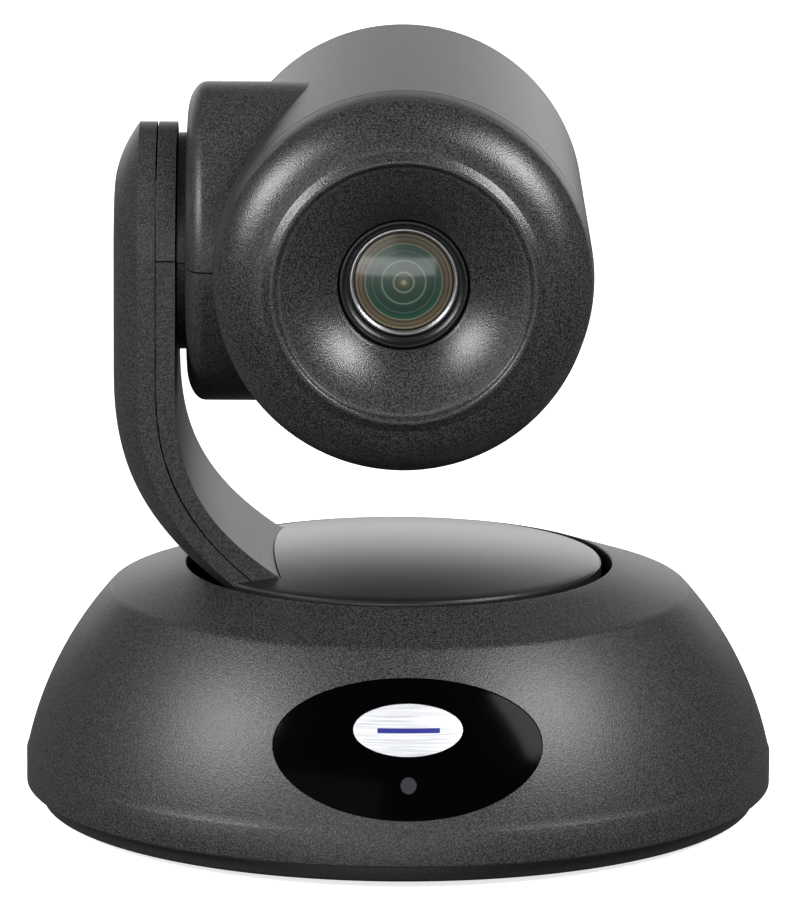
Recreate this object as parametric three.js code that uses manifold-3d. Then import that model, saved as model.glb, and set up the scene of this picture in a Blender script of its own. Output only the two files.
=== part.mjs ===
// A pan-tilt-zoom conference camera: domed base, turntable, one curved arm and a tilting barrel head.
// Millimetres, +Z up, lens looking along -Y. The origin is on the table under the pan axis.
import * as THREE from "three";
import { mergeVertices } from "three/addons/utils/BufferGeometryUtils.js";
import Module from "manifold-3d";

const wasm = await Module();
wasm.setup();

// ---- Driving dimensions -------------------------------------------------------------------------

const GAP = 0.3; // between pieces that rest on or touch each other
const WALL = 2.4; // moulded shells

const FOOT_PROUD = 1.5;
const BASE_RADIUS = 92.5;
const BASE_HEIGHT = 59.8; // opening edge above the underside of the pan
const BASE_BAND = 8.1; // upright band of the cover
const PAN_RADIUS = BASE_RADIUS - 3.9;
const PAN_HEIGHT = 4.4;
const OPENING_RADIUS = 52.84;
const OPENING_CLEARANCE = 2.64; // between the turntable disc and the opening

const DISC_RISE = 4.5; // height of the turntable disc's dome
const ARM_HALF_DEPTH = 29.35; // the arm runs this far to the front and to the back of the pan axis
const ARM_CLEARANCE = 0.5; // between the arm and the slot in the disc
const TILT_HEIGHT = 140.3; // tilt axis above the underside of the pan

const BARREL_RADIUS = 46;
const BARREL_OFFSET = 0.6; // the lens axis stands this far to the right of the pan axis
const BARREL_FRONT = 51; // shell edge in front of the tilt axis
const BARREL_BACK = 61;
const BOSS_RADIUS = 39.3;
const NECK_RADIUS = 26.7;
const LENS_HOLE_RADIUS = 16;

const BADGE_HALF_WIDTH = 32.3;
const BADGE_TURN = THREE.MathUtils.degToRad(1.45); // the window sits this far round to the right

const SHAFT_RADIUS = 8;
const GEAR_MODULE = 1;
const PAN_GEAR_TEETH = 56;
const TILT_GEAR_TEETH = 32;
const PINION_TEETH = 14;
const BACKLASH = 0.16; // thinning of each tooth at the pitch circle
const PRESSURE_ANGLE = THREE.MathUtils.degToRad(20);

// ---- Sizes worked out from them -----------------------------------------------------------------

const PAN_TOP = FOOT_PROUD + PAN_HEIGHT;
const OPENING_Z = FOOT_PROUD + BASE_HEIGHT;
const TILT_Z = FOOT_PROUD + TILT_HEIGHT;
const DISC_RADIUS = OPENING_RADIUS - OPENING_CLEARANCE;
const DISC_EDGE_Z = OPENING_Z + 0.5;
const BAND_TOP = PAN_TOP + BASE_BAND;
const SHOULDER = { radius: BASE_RADIUS - 21, z: OPENING_Z - 6.2 };

const HUB_TOP = OPENING_Z - 3.8;
const HUB_FLANGE = 2.5;
const GEAR_Z = HUB_TOP - 13.5;
const GEAR_WIDTH = 4;
const DECK_TOP = GEAR_Z - 7;
const DECK_THICKNESS = 3;

const BOSS_CREASE_X = BARREL_OFFSET - BARREL_RADIUS - 2.5;
const BOSS_END_X = BOSS_CREASE_X - 4.6;
const NECK_END_X = BOSS_END_X - 2.1;
const ARM_INNER_X = NECK_END_X - 0.4;
const ARM_SEAM_X = ARM_INNER_X - 4.8;
const ARM_CREASE_X = ARM_SEAM_X - 4.5;
const ARM_CROWN = 6.2; // how far the pillowed outer face stands out from its edge
const CROWN_REACH = 17; // how far in from the edge the pillow goes on rising
const ARM_BEND_Z = OPENING_Z + 52.2; // the arm is straight above this height
const ARM_FOOT_Z = HUB_TOP + 0.7;
const FOOT_SHIFT = 23.9 - DISC_RADIUS - ARM_INNER_X; // how far the inner face curves in at disc height

const wholeTurn = 2 * Math.PI;
const SIDES = { base: 36, barrel: 32, boss: 28, ring: 20, small: 14, screw: 8 };

// ---- Solids: manifold-3d joins and cuts what three.js shapes ------------------------------------

// A closed three.js geometry as a solid.
function solid(geometry) {
  const bare = geometry.index ? geometry.toNonIndexed() : geometry.clone();
  bare.deleteAttribute("normal");
  bare.deleteAttribute("uv");
  const merged = mergeVertices(bare, 1e-4);
  return new wasm.Manifold(
    new wasm.Mesh({
      numProp: 3,
      vertProperties: merged.attributes.position.array,
      triVerts: new Uint32Array(merged.index.array),
    }),
  );
}

function geometryOf(body) {
  const mesh = body.getMesh();
  const geometry = new THREE.BufferGeometry();
  geometry.setAttribute("position", new THREE.BufferAttribute(mesh.vertProperties, 3));
  geometry.setIndex(new THREE.BufferAttribute(mesh.triVerts, 1));
  const flat = geometry.toNonIndexed();
  flat.computeVertexNormals();
  return flat;
}

function join(...bodies) {
  return bodies.reduce((whole, body) => whole.add(body));
}

function cut(body, ...tools) {
  return tools.reduce((rest, tool) => rest.subtract(tool), body);
}

function box(x, y, z) {
  const geometry = new THREE.BoxGeometry(x[1] - x[0], y[1] - y[0], z[1] - z[0]);
  geometry.translate((x[0] + x[1]) / 2, (y[0] + y[1]) / 2, (z[0] + z[1]) / 2);
  return solid(geometry);
}

// A round bar along X, Y or Z between two stations, centred on the point "at" of the other two axes.
function bar(axis, radius, span, at = [0, 0], sides = SIDES.small + 8) {
  const geometry = new THREE.CylinderGeometry(radius, radius, span[1] - span[0], sides);
  geometry.translate(0, (span[0] + span[1]) / 2, 0);
  if (axis === "z") geometry.rotateX(Math.PI / 2).translate(at[0], at[1], 0);
  if (axis === "x") geometry.rotateZ(-Math.PI / 2).translate(0, at[0], at[1]);
  if (axis === "y") geometry.translate(at[0], 0, at[1]);
  return solid(geometry);
}

// A turned solid about Z. The profile is a list of [radius, height] and may run either way round.
function turned(profile, sides) {
  const points = profile.map(([radius, height]) => new THREE.Vector2(radius, height));
  const loop = [...points, points[0].clone()];
  if (THREE.ShapeUtils.area(points) < 0) loop.reverse();
  return new THREE.LatheGeometry(loop, sides).rotateX(Math.PI / 2);
}

// The same about an axis along -Y: height in the profile is distance to the front.
function turnedToFront(profile, sides) {
  return turned(profile, sides).rotateX(Math.PI / 2);
}

// A flat outline of [x, z] points pushed along Y from the front to the back.
function slab(outline, halfDepth) {
  const shape = new THREE.Shape(outline.map(([x, z]) => new THREE.Vector2(x, z)));
  const geometry = new THREE.ExtrudeGeometry(shape, { depth: 2 * halfDepth, bevelEnabled: false });
  return solid(geometry.rotateX(Math.PI / 2).translate(0, halfDepth, 0));
}

// Points on the round arc from a to b that bulges to the left of that direction.
function arc(a, b, bulge, steps) {
  const chord = Math.hypot(b[0] - a[0], b[1] - a[1]);
  const half = 2 * Math.atan((2 * bulge) / chord);
  const radius = chord / (2 * Math.sin(half));
  const away = [-(b[1] - a[1]) / chord, (b[0] - a[0]) / chord];
  const middle = [(a[0] + b[0]) / 2, (a[1] + b[1]) / 2];
  const centre = middle.map((m, i) => m - away[i] * radius * Math.cos(half));
  const start = Math.atan2(a[1] - centre[1], a[0] - centre[0]);
  const points = [];
  for (let i = 0; i <= steps; i++) {
    const angle = start - (2 * half * i) / steps;
    const reach = Math.abs(radius);
    points.push([centre[0] + reach * Math.cos(angle), centre[1] + reach * Math.sin(angle)]);
  }
  return points;
}

// A closed skin over rings of points, each ring with the same number of points, capped at both ends.
function loft(rings) {
  const positions = rings.flat(2);
  const count = rings[0].length;
  const index = [];
  for (let r = 0; r + 1 < rings.length; r++) {
    for (let i = 0; i < count; i++) {
      const a = r * count + i;
      const b = r * count + ((i + 1) % count);
      index.push(a, b, b + count, a, b + count, a + count);
    }
  }
  const last = (rings.length - 1) * count;
  for (let i = 1; i + 1 < count; i++) {
    index.push(0, i + 1, i);
    index.push(last, last + i, last + i + 1);
  }
  const geometry = new THREE.BufferGeometry();
  geometry.setAttribute("position", new THREE.Float32BufferAttribute(positions, 3));
  geometry.setIndex(index);
  return solid(geometry);
}

const scene = new THREE.Group();
const finishes = {
  shell: { color: 0x434446, roughness: 0.55, metalness: 0 },
  gloss: { color: 0x050506, roughness: 0.08, metalness: 0 },
  black: { color: 0x141415, roughness: 0.5, metalness: 0 },
  plate: { color: 0xc9cbcf, roughness: 0.3, metalness: 0.8 },
  steel: { color: 0x8d9094, roughness: 0.35, metalness: 1 },
  brass: { color: 0xb08d4a, roughness: 0.35, metalness: 1 },
  rubber: { color: 0x1b1b1c, roughness: 0.9, metalness: 0 },
  board: { color: 0x1f4a33, roughness: 0.5, metalness: 0 },
  gear: { color: 0xd8d6cc, roughness: 0.45, metalness: 0 },
  glass: { color: 0x20302a, roughness: 0.05, metalness: 0 },
};

// Adds one named piece to a group.
function piece(group, name, finish, geometry) {
  const mesh = new THREE.Mesh(geometry, new THREE.MeshStandardMaterial(finishes[finish]));
  mesh.name = name;
  group.add(mesh);
}

// ---- Base ---------------------------------------------------------------------------------------

const FOOT = { radius: 7, recess: 1, ring: PAN_RADIUS - 14, angles: [45, 135, 225, 315] };
const PAN_FLOOR = 2.5;
const COVER_SCREW = { ring: BASE_RADIUS - 14, angles: [30, 150, 210, 330], shank: 1.5, head: 3.2 };
const TRIPOD = { radius: 3.175, depth: 8, flange: 8 };
const POCKET = { halfWidth: 42, low: BAND_TOP + 1.5, high: BAND_TOP + 21.5, face: BASE_RADIUS - 26 };
const BOARD = { halfWidth: 46, front: 26, thickness: 1.6, bottom: PAN_TOP + 6, post: 3 };

function onRing(radius, degrees) {
  const angle = THREE.MathUtils.degToRad(degrees);
  return [radius * Math.cos(angle), radius * Math.sin(angle)];
}

// The outside of the dome, shrunk by a wall: an upright band, a round flank and a sloping ring.
function domeOutline(wall) {
  const flankBottom = [BASE_RADIUS - wall, BAND_TOP];
  const flankTop = [SHOULDER.radius - 0.8 * wall, SHOULDER.z - 0.8 * wall];
  return [
    [BASE_RADIUS - wall, PAN_TOP],
    ...arc(flankBottom, flankTop, -3, 6),
    [OPENING_RADIUS + (wall > 0 ? WALL - 0.4 : 0), OPENING_Z - wall],
  ];
}

function basePan() {
  const floorTop = FOOT_PROUD + PAN_FLOOR;
  const rim = PAN_RADIUS - 2.5;
  let pan = solid(
    turned(
      [
        [0, FOOT_PROUD],
        [PAN_RADIUS, FOOT_PROUD],
        [PAN_RADIUS, PAN_TOP - GAP],
        [rim, PAN_TOP - GAP],
        [rim, floorTop],
        [0, floorTop],
      ],
      SIDES.base,
    ),
  );
  for (const x of [-1, 1]) {
    for (const y of [BOARD.front + 6, POCKET.face - 8]) {
      const at = [x * (BOARD.halfWidth - 6), y];
      pan = pan.add(bar("z", BOARD.post, [FOOT_PROUD + 1, BOARD.bottom - GAP], at, 12));
    }
  }
  for (const angle of FOOT.angles) {
    const at = onRing(FOOT.ring, angle);
    pan = pan.subtract(bar("z", FOOT.radius + GAP, [0, FOOT_PROUD + FOOT.recess], at, SIDES.small));
  }
  for (const angle of COVER_SCREW.angles) {
    const at = onRing(COVER_SCREW.ring, angle);
    pan = pan.subtract(bar("z", COVER_SCREW.shank + GAP, [0, PAN_TOP], at, SIDES.screw));
    pan = pan.subtract(bar("z", COVER_SCREW.head + GAP, [0, FOOT_PROUD + 1.3], at, SIDES.screw));
  }
  return geometryOf(pan.subtract(bar("z", TRIPOD.flange - 1.5 + GAP, [0, PAN_TOP], [0, 0], SIDES.small)));
}

function foot(angle) {
  const at = onRing(FOOT.ring, angle);
  return geometryOf(bar("z", FOOT.radius, [0, FOOT_PROUD + FOOT.recess - GAP], at, SIDES.small));
}

function coverScrew(angle) {
  const at = onRing(COVER_SCREW.ring, angle);
  const seat = FOOT_PROUD + 1.3 - GAP;
  const head = bar("z", COVER_SCREW.head, [FOOT_PROUD - 0.4, seat], at, SIDES.screw);
  const shank = bar("z", COVER_SCREW.shank, [seat - 0.1, PAN_TOP + 8], at, SIDES.screw);
  const drive = box([at[0] - 1.8, at[0] + 1.8], [at[1] - 0.4, at[1] + 0.4], [0, FOOT_PROUD + 0.3]);
  return geometryOf(head.add(shank).subtract(drive));
}

function tripodInsert() {
  const floorTop = FOOT_PROUD + PAN_FLOOR;
  const stem = bar("z", TRIPOD.flange - 1.5, [FOOT_PROUD, floorTop + GAP], [0, 0], SIDES.small);
  const flange = bar("z", TRIPOD.flange, [floorTop + GAP, floorTop + GAP + 1.5], [0, 0], SIDES.small);
  const top = bar("z", TRIPOD.flange - 1.5, [floorTop + 1, FOOT_PROUD + TRIPOD.depth + 2], [0, 0], SIDES.small);
  const hole = bar("z", TRIPOD.radius, [0, FOOT_PROUD + TRIPOD.depth], [0, 0], SIDES.small);
  return geometryOf(join(stem, flange, top).subtract(hole));
}

// The oval badge window follows the dome: the same outline cut from a thicker or a thinner shell.
const BADGE = { low: FOOT_PROUD + 16, high: FOOT_PROUD + 47.3, depth: 1.6 };
const NAMEPLATE = { halfWidth: 13.15, low: FOOT_PROUD + 30.5, high: FOOT_PROUD + 42 };
const INDICATOR = { radius: 1.9, z: FOOT_PROUD + 24 };

function frontOval(halfWidth, low, high, sides) {
  const geometry = new THREE.CylinderGeometry(1, 1, BASE_RADIUS, sides);
  geometry.scale(halfWidth, 1, (high - low) / 2);
  geometry.translate(0, -BASE_RADIUS / 2 - 20, (low + high) / 2);
  return solid(geometry.rotateZ(BADGE_TURN));
}

// The dome filled to the axis, and the skin between two walls of it.
function domeSolid(wall, low) {
  return solid(turned([[0, low], ...domeOutline(wall), [0, OPENING_Z - wall]], SIDES.base));
}

function domeSkin(outer, inner) {
  return domeSolid(outer, PAN_TOP).subtract(domeSolid(inner, PAN_TOP - 1));
}

function badgeWindow() {
  const window = frontOval(BADGE_HALF_WIDTH, BADGE.low, BADGE.high, SIDES.ring);
  const indicator = frontOval(INDICATOR.radius + 0.2, INDICATOR.z - 2.1, INDICATOR.z + 2.1, SIDES.screw);
  const blank = domeSkin(0.05, BADGE.depth - GAP).intersect(window);
  const recess = frontOval(NAMEPLATE.halfWidth + 0.3, NAMEPLATE.low - 0.3, NAMEPLATE.high + 0.3, SIDES.ring);
  return geometryOf(blank.subtract(indicator).subtract(recess.intersect(domeSkin(-1, 0.7))));
}

function nameplate() {
  const plate = frontOval(NAMEPLATE.halfWidth, NAMEPLATE.low, NAMEPLATE.high, SIDES.ring);
  return geometryOf(domeSkin(-0.1, 0.45).intersect(plate));
}

function indicatorLens() {
  const lens = frontOval(INDICATOR.radius, INDICATOR.z - 1.9, INDICATOR.z + 1.9, SIDES.screw);
  return geometryOf(domeSkin(0.1, BADGE.depth + 2.4).intersect(lens));
}

function baseCover() {
  const inner = domeOutline(WALL);
  inner.push([OPENING_RADIUS + WALL - 0.4, OPENING_Z - 5.5], [OPENING_RADIUS, OPENING_Z - 5.5]);
  const shell = solid(turned([...domeOutline(0), ...inner.reverse()], SIDES.base));
  const inside = domeSolid(0.3, PAN_TOP);
  const width = [-POCKET.halfWidth, POCKET.halfWidth];
  const tunnelWidth = [width[0] - 2, width[1] + 2];
  const behind = [POCKET.face + GAP, BASE_RADIUS + 5];
  const tunnel = box(tunnelWidth, behind, [POCKET.low - 1.5, POCKET.high + 2]).intersect(inside);
  let cover = shell.add(tunnel);
  for (const angle of COVER_SCREW.angles) {
    const at = onRing(COVER_SCREW.ring, angle);
    cover = cover.add(bar("z", 3.6, [PAN_TOP + GAP, SHOULDER.z], at, 16).intersect(inside));
    cover = cover.subtract(bar("z", COVER_SCREW.shank + GAP, [PAN_TOP, PAN_TOP + 9], at, SIDES.screw));
  }
  cover = cover.subtract(box(width, [POCKET.face, BASE_RADIUS + 5], [POCKET.low, POCKET.high]));
  const window = frontOval(BADGE_HALF_WIDTH + GAP, BADGE.low - GAP, BADGE.high + GAP, SIDES.ring);
  cover = cover.subtract(window.intersect(domeSkin(-1, BADGE.depth)));
  const indicator = frontOval(INDICATOR.radius + 0.3, INDICATOR.z - 2.2, INDICATOR.z + 2.2, SIDES.screw);
  return geometryOf(cover.subtract(indicator));
}

function statusBoard() {
  const z = [INDICATOR.z - 7, INDICATOR.z + 9];
  return geometryOf(box([-10, 10], [-BASE_RADIUS + 16, -BASE_RADIUS + 17.2], z));
}

// Sockets stand on the main board behind the connector plate: [centre, width, height, mouth].
const SOCKETS = {
  power_jack: { x: -35.5, width: 9, height: 11, bore: 3.3 },
  network_jack: { x: -21, width: 16, height: 13.5, mouth: [11.8, 8] },
  control_jack: { x: -3, width: 16, height: 13.5, mouth: [11.8, 8] },
  usb_jack: { x: 13, width: 12, height: 11, mouth: [8.5, 7.8] },
  video_jack: { x: 28.5, width: 15, height: 8, mouth: [13.6, 4.7] },
};
const SOCKET_LOW = POCKET.low + 1.2;
const SOCKET_DEPTH = { power_jack: 14, network_jack: 16, control_jack: 16, usb_jack: 16, video_jack: 12 };
const SOCKET_FRONT = POCKET.face + 0.6;

function connectorPlate() {
  const width = [-POCKET.halfWidth - 1.5, POCKET.halfWidth + 1.5];
  let plate = box(width, [POCKET.face - 1.5, POCKET.face], [POCKET.low - 1, POCKET.high + 1.5]);
  for (const socket of Object.values(SOCKETS)) {
    const half = socket.width / 2 + GAP;
    const z = [SOCKET_LOW - GAP, SOCKET_LOW + socket.height + GAP];
    plate = plate.subtract(box([socket.x - half, socket.x + half], [0, BASE_RADIUS], z));
  }
  return geometryOf(plate);
}

function socketBody(name) {
  const socket = SOCKETS[name];
  const half = socket.width / 2;
  const y = [SOCKET_FRONT - SOCKET_DEPTH[name], SOCKET_FRONT];
  const body = box([socket.x - half, socket.x + half], y, [SOCKET_LOW, SOCKET_LOW + socket.height]);
  const mouthY = [y[0] + 2, y[1] + 1];
  const middle = SOCKET_LOW + socket.height / 2;
  if (socket.bore) {
    const pin = bar("y", 0.9, [y[0] + 1, SOCKET_FRONT - 5.2], [socket.x, middle], 10);
    return geometryOf(body.subtract(bar("y", socket.bore, mouthY, [socket.x, middle], 24)).add(pin));
  }
  const [wide, high] = socket.mouth.map((size) => size / 2);
  const mouth = box([socket.x - wide, socket.x + wide], mouthY, [middle - high, middle + high]);
  const tongue = box(
    [socket.x - wide + 1.5, socket.x + wide - 1.5],
    [y[0] + 1, SOCKET_FRONT - 5.2],
    [middle - 0.6, middle + 0.6],
  );
  return geometryOf(body.subtract(mouth).add(tongue));
}

function mainBoard() {
  const top = SOCKET_LOW - GAP;
  return geometryOf(
    box([-BOARD.halfWidth, BOARD.halfWidth], [BOARD.front, POCKET.face - 2], [top - BOARD.thickness, top]),
  );
}

// ---- Pan drive ----------------------------------------------------------------------------------

const POST_RADIUS = 12;
const POST_BORE = 8.5;
const BEARING = { inner: POST_RADIUS + GAP, outer: 17, low: GEAR_Z, high: GEAR_Z + 6 };
const HUB_INNER = BEARING.outer + GAP;
const HUB_OUTER = HUB_INNER + 3.2;
const MOTOR_RADIUS = 12.5;
const MOTOR_SHAFT = 1.5;
const PAN_MOTOR_ANGLE = -Math.PI / 4;
const PAN_CENTRES = (GEAR_MODULE * (PAN_GEAR_TEETH + PINION_TEETH)) / 2;
const PAN_MOTOR_AT = [
  PAN_CENTRES * Math.cos(PAN_MOTOR_ANGLE),
  PAN_CENTRES * Math.sin(PAN_MOTOR_ANGLE),
];

// Angle from a tooth's middle to its flank at a radius, for an involute tooth with backlash.
function halfTooth(teeth, radius) {
  const pitch = (GEAR_MODULE * teeth) / 2;
  const involute = (r) => {
    const pressure = Math.acos(Math.min(1, (pitch * Math.cos(PRESSURE_ANGLE)) / r));
    return Math.tan(pressure) - pressure;
  };
  return Math.PI / (2 * teeth) - BACKLASH / (2 * pitch) + involute(pitch) - involute(radius);
}

// A spur gear outline with the middle of one tooth at the angle "phase".
function gearShape(teeth, phase) {
  const pitch = (GEAR_MODULE * teeth) / 2;
  const curved = teeth < 20 ? [pitch - 0.35 * GEAR_MODULE] : [];
  const radii = [pitch - 1.2 * GEAR_MODULE, ...curved, pitch + 0.8 * GEAR_MODULE];
  const points = [];
  for (let tooth = 0; tooth < teeth; tooth++) {
    const middle = phase + (wholeTurn * tooth) / teeth;
    const flank = radii.map((radius) => [radius, halfTooth(teeth, radius)]);
    const outline = [...flank.map(([r, a]) => [r, -a]), ...flank.reverse()];
    for (const [radius, angle] of outline) {
      points.push(new THREE.Vector2(radius * Math.cos(middle + angle), radius * Math.sin(middle + angle)));
    }
  }
  return new THREE.Shape(points);
}

function gearBlank(teeth, phase, width) {
  return new THREE.ExtrudeGeometry(gearShape(teeth, phase), { depth: width, bevelEnabled: false });
}

function panFrame() {
  const low = FOOT_PROUD + PAN_FLOOR + GAP;
  const deckLow = DECK_TOP - DECK_THICKNESS;
  const column = turned(
    [
      [TRIPOD.flange + 1, low],
      [30, low],
      [30, low + 3],
      [22, low + 3],
      [22, deckLow],
      [24, deckLow],
      [24, DECK_TOP],
      [POST_RADIUS + 2.5, DECK_TOP],
      [POST_RADIUS + 2.5, BEARING.low - GAP],
      [POST_RADIUS, BEARING.low - GAP],
      [POST_RADIUS, HUB_TOP - 2],
      [POST_BORE, HUB_TOP - 2],
      [POST_BORE, deckLow],
      [19, deckLow],
      [19, low + 3],
      [TRIPOD.flange + 1, low + 3],
    ],
    SIDES.ring,
  );
  const ear = bar("z", MOTOR_RADIUS + 2, [deckLow, DECK_TOP], PAN_MOTOR_AT, SIDES.ring);
  const clear = bar("z", POST_RADIUS + 1, [deckLow - 1, DECK_TOP + 1], [0, 0], SIDES.small);
  const spigot = bar("z", 5, [deckLow - 1, DECK_TOP + 1], PAN_MOTOR_AT, SIDES.ring);
  return geometryOf(solid(column).add(ear.subtract(clear)).subtract(spigot));
}

function panBearing() {
  const { inner, outer, low, high } = BEARING;
  const groove = (inner + outer) / 2;
  return turned(
    [
      [inner, low],
      [outer, low],
      [outer, high],
      [groove + 1, high],
      [groove + 1, high - 0.6],
      [groove - 1, high - 0.6],
      [groove - 1, high],
      [inner, high],
    ],
    SIDES.ring,
  );
}

function motorCan(radius, low, high, spigotHigh, at) {
  const can = bar("z", radius, [low, high], at, SIDES.ring);
  const spigot = bar("z", 5 - GAP, [high - 0.5, spigotHigh], at, SIDES.small);
  return can.add(spigot).subtract(bar("z", MOTOR_SHAFT + 0.4, [low + 2, spigotHigh + 1], at, SIDES.screw));
}

function panMotor() {
  const deckLow = DECK_TOP - DECK_THICKNESS;
  return geometryOf(motorCan(MOTOR_RADIUS, deckLow - 18, deckLow - GAP, DECK_TOP, PAN_MOTOR_AT));
}

function pinion(phase, low, shaftLow) {
  const gear = gearBlank(PINION_TEETH, phase, GEAR_WIDTH + 0.8).translate(0, 0, low);
  return solid(gear).add(bar("z", MOTOR_SHAFT, [shaftLow, low + 1], [0, 0], SIDES.screw));
}

function panPinion() {
  const low = GEAR_Z - 0.4;
  const body = pinion(PAN_MOTOR_ANGLE + Math.PI, low, DECK_TOP - 14);
  return geometryOf(body).translate(PAN_MOTOR_AT[0], PAN_MOTOR_AT[1], 0);
}

function panGear() {
  const phase = PAN_MOTOR_ANGLE + Math.PI / PAN_GEAR_TEETH;
  const blank = gearBlank(PAN_GEAR_TEETH, phase, GEAR_WIDTH).translate(0, 0, GEAR_Z);
  return geometryOf(cut(solid(blank), bar("z", HUB_OUTER + GAP, [0, HUB_TOP], [0, 0], 36)));
}

// ---- Turntable, arm and tilt shaft --------------------------------------------------------------

function turntableHub() {
  const flangeLow = HUB_TOP - HUB_FLANGE;
  const lip = BEARING.high + GAP;
  return turned(
    [
      [HUB_INNER, GEAR_Z - 2],
      [HUB_OUTER, GEAR_Z - 2],
      [HUB_OUTER, flangeLow],
      [DISC_RADIUS - 10, flangeLow],
      [DISC_RADIUS - 10, HUB_TOP],
      [POST_RADIUS + 1, HUB_TOP],
      [POST_RADIUS + 1, lip],
      [HUB_INNER, lip],
    ],
    SIDES.boss,
  );
}

// How far across the arm's curve has come in at a height: nothing above the bend, all of it at the disc.
function curveIn(z, reach, power) {
  const drop = Math.max(0, (ARM_BEND_Z - z) / (ARM_BEND_Z - OPENING_Z));
  return reach * drop ** power;
}
const innerFace = (z) => ARM_INNER_X + curveIn(z, FOOT_SHIFT, 3);
const seamFace = (z) => ARM_SEAM_X + curveIn(z, FOOT_SHIFT - 4, 2.65);
const creaseFace = (z) => ARM_CREASE_X + curveIn(z, FOOT_SHIFT - 5.4, 2.67);

// Heights at which the arm is drawn: close together round the bend and round the top.
function armStations(low, high) {
  const straight = Math.min(ARM_BEND_Z, TILT_Z - 4);
  const heights = [];
  for (let i = 0; i <= 10; i++) heights.push(low + ((straight - low) * i) / 10);
  for (let i = 0; i <= 7; i++) heights.push(TILT_Z + (high - TILT_Z) * Math.sin((Math.PI / 2) * (i / 7)));
  return heights;
}

function halfWidthAt(z, radius) {
  return z <= TILT_Z ? radius : Math.sqrt(Math.max(0.04, radius ** 2 - (z - TILT_Z) ** 2));
}

// Distance from a point of the arm's outer face to the nearest edge of that face.
function edgeDistance(y, z, radius) {
  return radius - Math.hypot(y, Math.max(0, z - TILT_Z));
}

// The outer half of the arm, from the seam out to the pillowed face, moved in by a wall.
function outerHalf(wall, low, seamOverlap) {
  const radius = ARM_HALF_DEPTH - wall;
  const columns = 6;
  return loft(
    armStations(low, TILT_Z + radius).map((z) => {
      const half = halfWidthAt(z, radius);
      const ring = [[seamFace(z) + seamOverlap, -half, z]];
      for (let i = 0; i <= columns; i++) {
        const y = -half * Math.cos((Math.PI * i) / columns);
        const rise = Math.min(1, Math.max(0, edgeDistance(y, z, radius)) / CROWN_REACH);
        const depth = ARM_CROWN * (1 - (1 - rise) ** 2);
        ring.push([creaseFace(z) - depth + wall, y, z]);
      }
      ring.push([seamFace(z) + seamOverlap, half, z]);
      return ring.reverse();
    }),
  );
}

// The inner half of the arm: a band of even width between two faces.
function innerHalf(wall, low, seamOverlap) {
  const radius = ARM_HALF_DEPTH - wall;
  return loft(
    armStations(low, TILT_Z + radius).map((z) => {
      const half = halfWidthAt(z, radius);
      const x = [seamFace(z) - seamOverlap, innerFace(z) - 1.15 * wall];
      return [
        [x[0], -half, z],
        [x[1], -half, z],
        [x[1], half, z],
        [x[0], half, z],
      ];
    }),
  );
}

function armOuterCover() {
  const whole = outerHalf(0, ARM_FOOT_Z, -GAP / 2);
  return geometryOf(whole.subtract(outerHalf(WALL, ARM_FOOT_Z - 1, 1)));
}

// The wires of the head lie on the hub, pass under the disc and go up beside the bracket.
const HARNESS = { radius: 1.1, side: ARM_HALF_DEPTH - 8.35, lane: HUB_TOP + 2.4 };

function armInnerCovers() {
  const whole = innerHalf(0, ARM_FOOT_Z, -GAP / 2);
  const notch = box(
    [innerFace(OPENING_Z) - 9, innerFace(OPENING_Z) + 9],
    [HARNESS.side - 5, HARNESS.side + 2],
    [0, HARNESS.lane + 2],
  );
  const hollow = innerHalf(WALL, ARM_FOOT_Z - 1, 1).add(notch);
  const window = bar("x", SHAFT_RADIUS + 1, [ARM_SEAM_X - 5, ARM_INNER_X + 5], [0, TILT_Z], SIDES.ring);
  const shell = cut(whole, hollow, window);
  const wide = [-2 * BASE_RADIUS, 2 * BASE_RADIUS];
  const above = box(wide, wide, [TILT_Z + GAP / 2, 2 * TILT_Z]);
  const below = box(wide, wide, [0, TILT_Z - GAP / 2]);
  return [geometryOf(shell.intersect(above)), geometryOf(shell.intersect(below))];
}

function turntableDisc() {
  const edge = 1.2;
  const top = [DISC_RADIUS - edge, DISC_EDGE_Z + 0.25];
  const skirtLow = HUB_TOP + 0.6;
  const wall = 2;
  const outside = arc([0, DISC_EDGE_Z + DISC_RISE], top, DISC_RISE / 4, 5);
  const inside = arc([0, DISC_EDGE_Z + DISC_RISE - wall], [top[0] - wall + edge, top[1] - wall], DISC_RISE / 4, 3);
  const rib = { outer: DISC_RADIUS - 13, inner: DISC_RADIUS - 15, low: HUB_TOP + GAP };
  const cap = turned(
    [
      ...outside,
      [DISC_RADIUS, DISC_EDGE_Z - edge],
      [DISC_RADIUS, skirtLow],
      [DISC_RADIUS - wall, skirtLow],
      ...inside.reverse(),
    ],
    SIDES.base,
  );
  const ring = turned(
    [
      [rib.inner, rib.low],
      [rib.outer, rib.low],
      [rib.outer, DISC_EDGE_Z + 1],
      [rib.inner, DISC_EDGE_Z + 1],
    ],
    SIDES.boss,
  );
  const slotHalf = ARM_HALF_DEPTH + ARM_CLEARANCE;
  const heights = armStations(ARM_FOOT_Z - 4, TILT_Z).slice(0, 6);
  const outline = [
    ...heights.map((z) => [innerFace(z) + ARM_CLEARANCE, z]),
    [-BASE_RADIUS, heights[5]],
    [-BASE_RADIUS, heights[0]],
  ];
  return geometryOf(solid(cap).add(solid(ring)).subtract(slab(outline, slotHalf)));
}

const BRACKET = { half: ARM_HALF_DEPTH - 13.35, thickness: 2, top: TILT_Z + 15 };

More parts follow.
